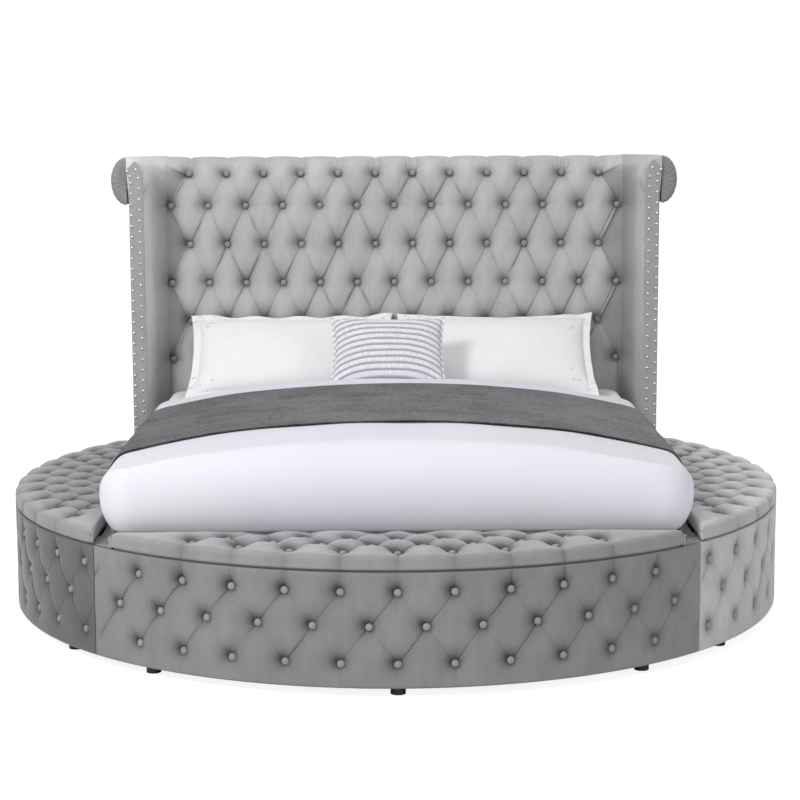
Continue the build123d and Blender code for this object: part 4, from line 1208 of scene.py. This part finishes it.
for u in np.linspace(pad_half + wing_run - 0.022, pad_half + 1e-4, 40):
    x, y, back_x, back_y = (float(value[0]) for value in plan(np.array([u])))
    wide = roll_wide - roll_taper * (u - pad_half) / wing_run
    run = (pad_half + wing_run - u) / wing_run
    size = 1 - 0.02 * math.exp(-run * 9)
    ring_points = []
    for turn, ripple in zip(turns_out, wave):
        swell = along_swell * ripple * math.exp(-run * swell_fade)
        b = wide - (wide * size + swell) * curl * math.cos(turn)
        z = roll_height + (roll_tall * size + swell) * math.sin(turn)
        ring_points.append((x + back_x * b, y + back_y * b, z))
    ring_points.append((x + back_x * wide, y + back_y * wide, roll_height))
    sections.append(ring_points)
scroll = tube("right_scroll_velvet", sections, velvets["scrolls"])
for name, piece in both_sides(scroll, "scroll"):
    upholster(piece, "bed_frame", "velvet", f"{name}_wing_scroll")

# Front trim. A flat velvet strip faces each wing's front edge and curls out with the roll. Two columns of
# polished nails hold it, set half a spacing apart.
strip_wide, strip_thick = 0.0615, 0.0058
strip_form = [(0, 0), (0, 0.6), (0.03, 0.92), (0.12, 1), (0.5, 1.04)]
strip_form += [(0.88, 1), (0.97, 0.92), (1, 0.6), (1, 0)]
over_roll = roll_height + roll_tall * np.linspace(0.08, 1.05, 14)
heights = np.concatenate([np.linspace(wing_low, 1.46, 60), np.linspace(1.47, roll_height, 12), over_roll])
back, up = section(np.full(len(heights), pad_half + wing_run), heights, np.zeros(len(heights)))
lean = np.clip((heights - roll_height) / roll_tall, 0, None) * 0.8
inner = np.stack([tip[0] + back, up], 1)
outer = inner + strip_wide * np.stack([np.cos(lean), -np.sin(lean)], 1)
sections = []
for (near_x, near_z), (far_x, far_z) in zip(inner, outer):
    ring_points = []
    for share, deep in strip_form:
        x, z = near_x + (far_x - near_x) * share, near_z + (far_z - near_z) * share
        ring_points.append((x, tip[1] - strip_thick * deep, z))
    sections.append(ring_points)
strip = tube("right_trim_velvet", sections, velvets["trim"])
for name, piece in both_sides(strip, "trim"):
    upholster(piece, "bed_frame", "velvet", f"{name}_trim_strip")
nail_silver, tree, surface = finish_of("polished_nickel", Metallic=1.0)
paint(tree, surface, noise(tree, mapped(tree), 400.0), (0.3, (0.46, 0.46, 0.47)), (0.7, (0.62, 0.62, 0.63)))
paint(tree, surface, noise(tree, mapped(tree), 900.0), (0.3, 0.28), (0.7, 0.44), "Roughness")
nail_spacing, nail_radius, nail_height = 0.0456, 0.0065, 0.0042
rises = np.concatenate([[0], np.cumsum(np.hypot(*np.diff(inner, axis=0).T))])
nail_places = []
for inset, shift in ((strip_wide - 0.009, 0.0), (strip_wide - 0.043, 0.5)):
    run = rises[-1] - 0.012 - shift * nail_spacing
    while run > 0.028:
        near = np.array([np.interp(run, rises, inner[:, k]) for k in (0, 1)])
        far = np.array([np.interp(run, rises, outer[:, k]) for k in (0, 1)])
        spot = near + (far - near) * inset / strip_wide
        nail_places.append((spot[0], tip[1] - strip_thick, spot[1]))
        run -= nail_spacing
nail_places += [(-x, y, z) for x, y, z in nail_places]
facings = [(0, -1, 0)] * len(nail_places)
nails = heads_at("nailhead_trim", nail_places, facings, nail_radius, nail_height, nail_silver)
upholster(nails, "bed_frame", "nail_silver", "nailheads")

# Back. A dark woven dust cloth is stretched over the rear of the headboard's panel and stapled along its
# edges, which keeps dust out of the padding.
dust, tree, surface = finish_of("black_dust_cloth", Roughness=0.9)
weave = noise(tree, mapped(tree), 700.0, 2.0)
paint(tree, surface, weave, (0.3, 0.012), (0.7, 0.03))
relief(tree, surface, weave, 0.4, 0.0006)


def grid_of(name, top, bottom, material):
    """A closed thin body between two grids of points of one size."""
    rows, columns = top.shape[:2]
    index = np.arange(rows * columns).reshape(rows, columns)
    quads = np.stack([index[:-1, :-1], index[1:, :-1], index[1:, 1:], index[:-1, 1:]], -1).reshape(-1, 4)
    under = quads[:, ::-1] + rows * columns
    border = np.concatenate([index[0, :-1], index[:-1, -1], index[-1, :0:-1], index[:0:-1, 0]])
    after = np.roll(border, -1)
    sides = np.stack([border, after, after + rows * columns, border + rows * columns], 1)
    points = np.concatenate([top.reshape(-1, 3), bottom.reshape(-1, 3)])
    made = mesh_of(name, points, np.concatenate([quads, under, sides]))
    shape = bmesh.new()
    shape.from_mesh(made.data)
    bmesh.ops.recalc_face_normals(shape, faces=shape.faces)
    shape.to_mesh(made.data)
    shape.free()
    made.data.materials.append(material)
    made.data.shade_smooth()
    return made


def waves(a, b, size, seed, number=7):
    """Soft unevenness from -1 to 1 over two coordinates, with features of about the size."""
    luck = np.random.default_rng(seed)
    total = 0.0
    for k in range(number):
        way = luck.uniform(0, math.pi)
        length = size * luck.uniform(0.6, 1.7)
        bend_by = 1.6 * np.sin((a * math.sin(way) - b * math.cos(way)) / (size * 1.9) + luck.uniform(0, 6))
        phase = (a * math.cos(way) + b * math.sin(way)) * 2 * math.pi / length + bend_by
        total = total + np.sin(phase + luck.uniform(0, 6))
    return total / number**0.5 / 1.6


dust_half, dust_low, dust_high, dust_face, dust_thick = 1.096, 0.240, 1.445, 1.1318, 0.0010
columns, courses = np.linspace(-dust_half, dust_half, 90), np.linspace(dust_low, dust_high, 50)
cloth_x, cloth_z = np.meshgrid(columns, courses, indexing="ij")
slack_y = dust_face + 0.0006 * waves(cloth_x, cloth_z, 0.5, 3)
outside = np.stack([cloth_x, slack_y, cloth_z], -1)
backing = grid_of("back_dust_cloth", outside, outside - [0, dust_thick, 0], dust)
upholster(backing, "bed_frame", "back_cloth", "headboard_back_cover")

# Mattress. A white knitted cover over foam, with a corded edge sewn round its top and bottom. It lies
# loose on the slats.
knit, tree, surface = finish_of("knitted_mattress_cover", Roughness=0.9, Sheen_Weight=0.2)
loops = noise(tree, mapped(tree, (1, 1, 0.5)), 420.0, 2.0)
paint(tree, surface, loops, (0.3, (0.62, 0.62, 0.63)), (0.7, (0.78, 0.78, 0.78)))
relief(tree, surface, loops, 0.4, 0.001)


def oblong(half_x, low_y, high_y, corner, inset, per_side=60, per_corner=10):
    """A rounded rectangle in plan, drawn in by an inset, with the same points for any inset."""
    points = []
    bend_radius = max(corner - inset, 0.001)
    far, top, low = half_x - corner, high_y - corner, low_y + corner
    middles = ((far, top), (-far, top), (-far, low), (far, low))
    for number, (x, y) in enumerate(middles):
        for degrees in np.linspace(0, 90, per_corner):
            turn = math.radians(90 * number + degrees)
            points.append((x + bend_radius * math.cos(turn), y + bend_radius * math.sin(turn)))
        x2, y2 = middles[(number + 1) % 4]
        turn = math.radians(90 * number + 90)
        from_x, from_y = points[-1]
        to_x, to_y = x2 + bend_radius * math.cos(turn), y2 + bend_radius * math.sin(turn)
        for share in np.linspace(0, 1, per_side + 2)[1:-1]:
            points.append((from_x + (to_x - from_x) * share, from_y + (to_y - from_y) * share))
    return points


mattress_half_x, mattress_half_y, mattress_corner = 0.965, 1.015, 0.080
profile = [(0.05, 0.3608), (0.024, 0.3608), (0.010, 0.3640), (0.001, 0.3700), (0.0, 0.3750), (0.004, 0.3800)]
profile += [(0.008, 0.3830), (0.005, 0.42), (0.004, 0.51), (0.005, 0.60), (0.008, 0.6375), (0.004, 0.6405)]
profile += [(0.0, 0.6455), (0.001, 0.6505), (0.010, 0.6562), (0.024, 0.6592), (0.05, 0.6600), (0.078, 0.6602)]
sections = []
for inset, z in profile:
    plan_ring = oblong(mattress_half_x, -mattress_half_y, mattress_half_y, mattress_corner, inset)
    sections.append([(x, y, z) for x, y in plan_ring])
mattress = tube("mattress_knit", sections, knit)
upholster(mattress, "bed_set", "mattress_cloth", "mattress")

# Duvet. A thick white cotton duvet lies over the mattress, bulges where it turns down and ends in the gap
# between the mattress and the benches.
cotton, tree, surface = finish_of("white_cotton", Roughness=0.75, Sheen_Weight=0.15)
threads = noise(tree, mapped(tree), 1500.0, 2.0)
tint = noise(tree, mapped(tree), 1.6, 2.0)
paint(tree, surface, tint, (0.3, (0.66, 0.665, 0.745)), (0.7, (0.70, 0.702, 0.755)))
relief(tree, surface, threads, 0.15, 0.0003)
duvet_half, duvet_front, duvet_rear = 1.020, -1.048, 0.580
bulge, hem = 0.565, 0.452
side_roll, front_roll = 0.1265, 0.2226
corner_round = 0.1265
side_curve, front_curve = 0.1796, 0.2593
side_tall, side_power = 0.142, 2.7
shoulder_tall, shoulder_wide, shoulder_power, shoulder_flat, shoulder_slope = 0.150, 0.230, 2.3, 0.17, 0.2
middle_tall, middle_curve = 0.752, 10.49
loft, ridge_loft, ridge_place, ridge_wide = 0.012, 0.022, 0.40, 0.17
rear_tall, rear_run = 0.683, 0.06
tuck_x, tuck_y, tuck_run = duvet_half - 0.12, duvet_front + 0.12, 0.12
crease_deep, crease_size = 0.0035, 0.42
under_z, under_x, under_y, under_round = 0.6620, 0.9672, -1.0172, 0.0822


def duvet_form(x, y):
    """Height of the duvet at a place in plan, before its creases are softened."""
    in_x, in_y, in_rear = duvet_half - np.abs(x), y - duvet_front, duvet_rear - y
    short_x, short_y = np.maximum(corner_round - in_x, 0), np.maximum(corner_round - in_y, 0)
    inside = np.maximum(corner_round - np.hypot(short_x, short_y), 0)
    front_share = np.sin(np.arctan2(short_y, short_x + 1e-9)) ** 2
    roll = side_roll + (front_roll - side_roll) * front_share
    turned_up = bulge + np.sqrt(np.maximum(2 * roll * inside - inside**2, 0))
    full = 1 - np.clip(inside / side_roll, 0, 1)
    fuller = bulge + side_tall * (1 - full**side_power) ** (1 / side_power)
    turned_up = turned_up + (np.maximum(fuller, turned_up) - turned_up) * (1 - front_share)
    left_over = 1 - np.clip(in_x / shoulder_wide, 0, 1)
    shoulder = bulge + shoulder_tall * (1 - left_over**shoulder_power) ** (1 / shoulder_power)
    shoulder = shoulder + np.maximum(in_x - shoulder_flat, 0) * shoulder_slope
    turned_up = np.where(inside >= corner_round - 1e-9, 9.0, turned_up)
    swollen = loft + ridge_loft * np.exp(-(((y - ridge_place) / ridge_wide) ** 2))
    across = middle_tall - x**2 / middle_curve + swollen * np.clip(1.25 - np.abs(x) ** 3, 0, 1)
    joined = np.clip(0.5 + (across - shoulder) / 0.04, 0, 1)
    across = across + (shoulder - across) * joined - 0.01 * joined * (1 - joined)
    behind = np.clip(1 - in_rear / rear_run, 0, 1)
    across = np.minimum(across, rear_tall + (across - rear_tall) * np.sqrt(1 - behind**2))
    width = 0.05 * np.clip(inside / 0.08, 0.02, 1)
    soft = np.clip(0.5 + (turned_up - across) / width, 0, 1)
    return turned_up + (across - turned_up) * soft - 0.25 * width * soft * (1 - soft)


step = 0.008
soft_x, soft_y = np.arange(-1.10, 1.1001, step), np.arange(-1.13, 0.70, step)
within = np.meshgrid(np.clip(soft_x, -1.0, 1.0), np.clip(soft_y, -1.03, 0.57), indexing="ij")
softened = duvet_form(*within)
for axis in (0, 0, 0, 1, 1, 1):
    softened = sum(np.roll(softened, shift, axis) for shift in range(-4, 5)) / 9


def over_duvet(x, y):
    """Height of the duvet at a place in plan."""
    x, y = np.broadcast_arrays(np.asarray(x, float), np.asarray(y, float))
    i, j = (x - soft_x[0]) / step, (y - soft_y[0]) / step
    low_i, low_j = i.astype(int), j.astype(int)
    a, b = i - low_i, j - low_j
    lower = softened[low_i, low_j] * (1 - a) + softened[low_i + 1, low_j] * a
    upper = softened[low_i, low_j + 1] * (1 - a) + softened[low_i + 1, low_j + 1] * a
    inside = np.minimum(np.minimum(duvet_half - np.abs(x), y - duvet_front), duvet_rear - y)
    crisp = duvet_form(x, y)
    return crisp + (lower * (1 - b) + upper * b - crisp) * eased((inside - 0.09) / 0.10)


def drawn_in(curve, below):
    """How far a flank with a radius comes in at a distance below the bulge."""
    return curve - np.sqrt(curve**2 - below**2)


outline = np.array(oblong(duvet_half, duvet_front, duvet_rear, corner_round, 0.0, 150, 26))
rear_side = outline[:, 1] > duvet_rear - corner_round
square = outline.copy()
square[rear_side, 1] = duvet_rear
near_rear = rear_side & (np.abs(outline[:, 0]) > duvet_half - corner_round)
for i in np.nonzero(near_rear)[0]:
    from_x, from_y = duvet_half - corner_round, duvet_rear - corner_round
    turn = math.atan2(outline[i, 1] - from_y, abs(outline[i, 0]) - from_x)
    reach = corner_round / max(math.cos(turn), math.sin(turn))
    square[i, 0] = math.copysign(from_x + reach * math.cos(turn), outline[i, 0])
    square[i, 1] = from_y + reach * math.sin(turn)
middle = np.array([0.0, -0.2])
at_rear = square[:, 1] > duvet_rear - 1e-6
on_mattress = at_rear & (np.abs(square[:, 0]) < under_x)
inner_edge = np.stack([np.clip(square[:, 0], -under_x, under_x), np.maximum(square[:, 1], under_y)], 1)
corner_x, corner_y = under_x - under_round, under_y + under_round
round_x, round_y = np.abs(square[:, 0]) - corner_x, corner_y - square[:, 1]
cornered = (round_x > 0) & (round_y > 0)
pull_in = under_round / np.hypot(round_x, round_y)[cornered]
inner_edge[cornered, 0] = np.sign(square[cornered, 0]) * (corner_x + round_x[cornered] * pull_in)
inner_edge[cornered, 1] = corner_y - round_y[cornered] * pull_in
sections = []
shares = [np.linspace(0.004, 0.80, 70), np.linspace(0.81, 0.97, 26), 1 - np.geomspace(0.026, 0.0006, 16)]
for share in np.concatenate(shares + [[1.0]]):
    place = middle + (square - middle) * share if share < 1 else square
    z = over_duvet(place[:, 0], place[:, 1])
    if share == 1:
        z = np.where(at_rear, z, bulge)
    creased_by = np.maximum(1 + waves(place[:, 0], place[:, 1], crease_size, 21), 0)
    sunk = crease_deep * creased_by * min((1 - share) * 14, 1)
    sections.append(np.column_stack([place, z - sunk]))
ends = sections[-1][:, 2]
for share in np.linspace(0, 1, 12)[1:]:
    z = bulge + (hem - bulge) * share
    drawn = square.copy()
    side_share = np.clip((np.abs(square[:, 0]) - tuck_x) / tuck_run, 0, 1)
    drawn[:, 0] -= np.sign(square[:, 0]) * drawn_in(side_curve, bulge - z) * side_share
    drawn[:, 1] += drawn_in(front_curve, bulge - z) * np.clip((tuck_y - square[:, 1]) / tuck_run, 0, 1)
    low_z = np.full(len(square), z)
    fall = ends + (np.where(on_mattress, under_z, hem) - ends) * share
    low_z[at_rear] = fall[at_rear]
    sections.append(np.column_stack([drawn, low_z]))
sections.append(np.column_stack([inner_edge, np.where(on_mattress, under_z, hem)]))
sections.append(np.column_stack([inner_edge, np.full(len(square), under_z)]))
duvet = tube("duvet_cotton", [[tuple(place) for place in ring_points] for ring_points in sections], cotton)
upholster(duvet, "bed_set", "duvet_white", "duvet")

# Throw. A crinkled grey cotton throw lies loose across the duvet and hangs down over its two sides. Its
# near edge is drawn forward at both sides.
crinkled, tree, surface = finish_of("grey_crinkled_cotton", Roughness=0.92, Sheen_Weight=0.25)
threads = noise(tree, mapped(tree, (1, 1.5, 1.5)), 95.0, 4.0, 0.7)
tint = noise(tree, mapped(tree), 5.0, 3.0)
both = weighed(tree, threads, tint, 0.6)
paint(tree, surface, both, (0.42, (0.012, 0.011, 0.013)), (0.56, (0.094, 0.090, 0.095)))
relief(tree, surface, threads, 0.9, 0.0040)
throw_low, throw_high, throw_hem, throw_thick = -0.590, 0.290, 0.478, 0.0042
flare, flare_start, weave_off = 0.13, 0.62, 0.004
stand_off, crinkle_tall, fold_tall, deepest = 0.0064, 0.0020, 0.0022, -0.0012
dense_run = 0.16
round_x = duvet_half - dense_run * (1 - np.sin(np.linspace(0, math.pi / 2, 70)[1:]))
across_x = np.concatenate([np.linspace(0, duvet_half - dense_run, 150), round_x])
top_z = over_duvet(across_x, np.zeros(len(across_x)))
down_z = np.linspace(bulge, throw_hem, 22)[1:]
down_x = duvet_half - drawn_in(side_curve, bulge - down_z)
line = np.column_stack([np.concatenate([across_x, down_x]), np.concatenate([top_z, down_z])])
paces = np.concatenate([[0], np.cumsum(np.hypot(*np.diff(line, axis=0).T))])
reach = paces[-1]
even = np.linspace(0, reach, 240)
line = np.column_stack([np.interp(even, paces, line[:, k]) for k in (0, 1)])
facing = np.gradient(line, axis=0)
facing = np.column_stack([-facing[:, 1], facing[:, 0]]) / np.hypot(*facing.T)[:, None]
facing[0] = (0, 1)
line = np.concatenate([line[:0:-1] * [-1, 1], line])
facing = np.concatenate([facing[:0:-1] * [-1, 1], facing])
run = np.concatenate([-even[:0:-1], even])
along_u, along_y = np.meshgrid(run, np.linspace(throw_low, throw_high, 190), indexing="ij")
crinkle = waves(along_u, along_y * 2.1, 0.055, 31, 11) * 0.7
crinkle = crinkle + waves(along_u, along_y * 1.4, 0.026, 37, 9) * 0.4
folds = fold_tall * waves(along_u * 0.3, along_y, 0.11, 41)
edge_in = np.minimum(np.minimum(along_y - throw_low, throw_high - along_y), reach - np.abs(along_u))
height = stand_off + np.maximum(crinkle_tall * crinkle + folds, deepest) * eased(edge_in / 0.02)
nearer = (throw_high - along_y) / (throw_high - throw_low)
outward = eased((np.abs(along_u) - flare_start) / (reach - flare_start))
swept = along_y + weave_off * np.sin(along_u * 5.0) - flare * nearer * outward
line_x = line[:, None, 0] + 0 * along_y
on_top = (np.abs(line_x) < 0.999 * duvet_half) & (np.abs(along_u) < paces[len(across_x) - 1])
level = over_duvet(line[:, 0], 0 * line[:, 0])[:, None]
rise = np.where(on_top, over_duvet(line_x, swept) - level, 0.0)


def lifted_off(gap):
    """The throw's grid at a gap off the duvet."""
    x, z = (line[:, None, k] + facing[:, None, k] * gap for k in (0, 1))
    return np.stack([x, swept, z + rise], -1)


top_side, low_side = lifted_off(height), lifted_off(height - throw_thick)
throw = grid_of("throw_cotton", top_side, low_side, crinkled)
upholster(throw, "bed_set", "throw_grey", "throw")

# Pillows. Two white pillows with flat flanges lean on the headboard, with small printed sprigs near
# their corners. Each is filled, drawn in along its sides and a little dented.
printed, tree, surface = finish_of("sprigged_cotton", Roughness=0.75, Sheen_Weight=0.15)
own = node(tree, "ShaderNodeUVMap", {}, uv_map="cloth").outputs["UV"]
cells = node(tree, "ShaderNodeTexVoronoi", {"Vector": own, "Scale": 16.0, "Randomness": 1.0})
leaves = node(tree, "ShaderNodeTexVoronoi", {"Vector": own, "Scale": 62.0, "Randomness": 1.0})
near_cell = math_of(tree, "LESS_THAN", cells.outputs["Distance"], 0.42)
leaf = math_of(tree, "MULTIPLY", near_cell, math_of(tree, "LESS_THAN", leaves.outputs["Distance"], 0.36))
parts = node(tree, "ShaderNodeSeparateXYZ", {0: own})
away_u = math_of(tree, "ABSOLUTE", math_of(tree, "SUBTRACT", parts.outputs[0], 0.5))
away_v = math_of(tree, "ABSOLUTE", math_of(tree, "SUBTRACT", parts.outputs[1], 0.5))
far_out = math_of(tree, "GREATER_THAN", away_u, 0.36)
cornered = math_of(tree, "MULTIPLY", far_out, math_of(tree, "GREATER_THAN", away_v, 0.20))
sprig = math_of(tree, "MULTIPLY", math_of(tree, "MULTIPLY", leaf, cornered), 0.75)
plain = ramp(tree, noise(tree, mapped(tree), 3.0), [(0.3, (0.74, 0.735, 0.75)), (0.7, (0.79, 0.78, 0.785))])
tree.links.new(mixed_of(tree, sprig, plain, (0.42, 0.44, 0.33, 1.0)), surface.inputs["Base Color"])
relief(tree, surface, noise(tree, mapped(tree), 1500.0, 2.0), 0.15, 0.0003)


tuck_tall, tuck_sunk, thread_tall, thread_gap = 0.0105, 0.0030, 0.0006, 0.0075


def pillow(
    name, half, thick, flange, flange_thick, drawn, centre, tilt, material, seed,
    tuck_count=0, edge_wave=0.0, fullness=0.5,
):
    """A filled cushion with a flat border, drawn in along its sides and leaning back by the tilt."""
    half_a, half_b = half
    s, t = np.meshgrid(np.linspace(-1, 1, 181), np.linspace(-1, 1, 121), indexing="ij")
    s, t = np.sin(s * math.pi / 2) * 0.35 + s * 0.65, np.sin(t * math.pi / 2) * 0.35 + t * 0.65
    a = s * (half_a - drawn * (1 - t**2))
    b = t * (half_b - drawn * 0.8 * (1 - s**2))
    in_a = np.clip(np.abs(s) / (1 - flange / half_a), 0, 1)
    in_b = np.clip(np.abs(t) / (1 - flange / half_b), 0, 1)
    body = ((1 - in_a**2.6) * (1 - in_b**2.6)) ** fullness
    dent = 1 + 0.055 * waves(a, b, 0.30, seed) + 0.030 * waves(a, b, 0.11, seed + 1)
    swell = (thick - flange_thick) / 2 * body * dent * 0.94
    flap = edge_wave * (1 - body) ** 3 * waves(a, b, 0.13, seed + 2)
    front, rear = swell + flange_thick / 2 + flap, -swell - flange_thick / 2 + flap
    if tuck_count:
        bowed = (t + 0.30 * np.abs(s) ** 3) * tuck_count / 2
        tuck = (bowed % 1) * 2 - 1
        ridge = tuck_tall * (1 - np.abs(tuck) ** 5) * (0.70 - 0.30 * tuck) - tuck_sunk
        groove = np.clip((np.abs(tuck) - 0.55) / 0.40, 0, 1)
        threads = thread_tall * np.sin(a * 2 * math.pi / thread_gap + 3 * np.sin(b * 40))
        front = front + (ridge + threads) * np.minimum(body * 3, 1)
    lean = math.radians(tilt)

    def stood(c):
        """Leans flat places back and moves them to the centre."""
        y = centre[1] + b * math.cos(lean) - c * math.sin(lean)
        z = centre[2] + b * math.sin(lean) + c * math.cos(lean)
        return np.stack([centre[0] + a, y, z], -1)

    made = grid_of(name, stood(front), stood(rear), material)
    layer = made.data.uv_layers.new(name="cloth")
    flat_uv = np.concatenate([np.stack([(a / half_a + 1) / 2, (b / half_b + 1) / 2], -1).reshape(-1, 2)] * 2)
    corners = np.zeros(len(made.data.loops), int)
    made.data.loops.foreach_get("vertex_index", corners)
    layer.data.foreach_set("uv", flat_uv[corners].astype(np.float32).ravel())
    if tuck_count:
        attribute = made.data.attributes.new("groove", "FLOAT", "POINT")
        marks = np.concatenate([groove.ravel(), 0 * groove.ravel()])
        attribute.data.foreach_set("value", marks.astype(np.float32))
    return made


for name, side_x, half_wide, seed in (("left", -0.450, 0.4400, 51), ("right", 0.436, 0.4280, 61)):
    half, centre = (half_wide, 0.249), (side_x, 0.8528, 0.8265)
    piece = pillow(
        f"{name}_pillow_case", half, thick=0.168, flange=0.034, flange_thick=0.0055, drawn=0.024,
        centre=centre, tilt=40.0, material=printed, seed=seed, edge_wave=0.008,
    )
    upholster(piece, "bed_set", "pillow_white", f"{name}_pillow")

# Accent cushion. A small grey cushion of fine striped cotton stands on the duvet against the pillows,
# with rows of sewn tucks that bow downward at both ends.
tucked, tree, surface = finish_of("tucked_grey_cotton", Roughness=0.8, Sheen_Weight=0.2)
stripe = noise(tree, mapped(tree, (14, 1, 1)), 60.0, 2.0)
threads = ramp(tree, stripe, [(0.35, (0.55, 0.55, 0.59)), (0.65, (0.86, 0.86, 0.90))])
# Painted shade: the grooves between the tucks are darkened toward a dark grey.
groove = node(tree, "ShaderNodeAttribute", attribute_name="groove").outputs["Fac"]
groove_shade = mixed_of(tree, math_of(tree, "MULTIPLY", groove, 0.8), threads, (0.26, 0.26, 0.29, 1.0))
tree.links.new(groove_shade, surface.inputs["Base Color"])
relief(tree, surface, stripe, 0.3, 0.0006)
accent = pillow(
    "accent_cushion_case", (0.2395, 0.164), thick=0.116, flange=0.010, flange_thick=0.005, drawn=0.014,
    centre=(-0.030, 0.5605, 0.8813), tilt=52.0, material=tucked, seed=71, tuck_count=11, fullness=0.42,
)
upholster(accent, "bed_set", "cushion_grey", "accent_cushion")

# Studio. The camera stands where the photograph was taken and looks slightly down. The floor is pale, and
# the light is soft and comes mostly from the upper left.
floor = mesh_of("floor", [(-60, -60, 0), (60, -60, 0), (60, 120, 0), (-60, 120, 0)], [(0, 1, 2, 3)])
pale, tree, surface = finish_of("pale_floor", Roughness=0.8, Base_Color=(0.86, 0.86, 0.86, 1))
glow = node(tree, "ShaderNodeEmission", {"Color": (1, 1, 1, 1), "Strength": 1.45}).outputs[0]
seen = node(tree, "ShaderNodeLightPath").outputs["Is Camera Ray"]
share = math_of(tree, "MULTIPLY", seen, 0.6)
mix = node(tree, "ShaderNodeMixShader", {0: share, 1: surface.outputs[0], 2: glow})
tree.links.new(mix.outputs[0], tree.nodes["Material Output"].inputs[0])
floor.data.materials.append(pale)
floor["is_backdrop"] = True
world = bpy.data.worlds.new("studio")
bpy.context.scene.world = world
world.use_nodes = True
tree = world.node_tree
path = node(tree, "ShaderNodeLightPath")
seen = math_of(tree, "MAXIMUM", path.outputs["Is Camera Ray"], path.outputs["Is Glossy Ray"])
seen = math_of(tree, "MAXIMUM", seen, path.outputs["Is Transmission Ray"])
power = math_of(tree, "MULTIPLY_ADD", seen, 0.52)
power.node.inputs[2].default_value = 0.48
tree.nodes["Background"].inputs["Color"].default_value = (1, 1, 1, 1)
tree.links.new(power, tree.nodes["Background"].inputs["Strength"])
for name, place, size, strength in (
    ("key", (-3.9, -4.6, 4.9), 2.0, 270.0),
    ("fill", (5.0, -6.0, 3.2), 4.0, 80.0),
    ("front", (0.6, -7.6, 1.1), 2.5, 30.0),
    ("top", (0.0, 0.2, 6.0), 4.0, 60.0),
):
    lamp = bpy.data.lights.new(name, "AREA")
    lamp.shape = "DISK"
    lamp.size = size
    lamp.energy = strength
    holder = linked(name, lamp)
    holder.location = place
    holder.rotation_mode = "QUATERNION"
    holder.rotation_quaternion = (Vector((0, 0, 0.6)) - Vector(place)).to_track_quat("-Z", "Y")
camera_data = bpy.data.cameras.new("camera")
camera_data.lens = 90.0
camera_data.sensor_width = 36.0
camera_data.clip_end = 200.0
camera = linked("camera", camera_data)
camera_place = (-0.021, -7.676, 1.8675)
yaw, pitch_down, roll = (math.radians(value) for value in (0.280, 8.228, -0.231))
level = math.cos(pitch_down)
ahead = Vector((math.sin(yaw) * level, math.cos(yaw) * level, -math.sin(pitch_down)))
aside = Vector((math.cos(yaw), -math.sin(yaw), 0))
above = aside.cross(ahead)
right = aside * math.cos(roll) + above * math.sin(roll)
top = above * math.cos(roll) - aside * math.sin(roll)
aimed = Matrix((right, top, -ahead)).transposed().to_4x4()
camera.matrix_world = Matrix.Translation(camera_place) @ aimed
bpy.context.scene.camera = camera
bpy.context.scene.view_settings.view_transform = "Standard"

low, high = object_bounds()
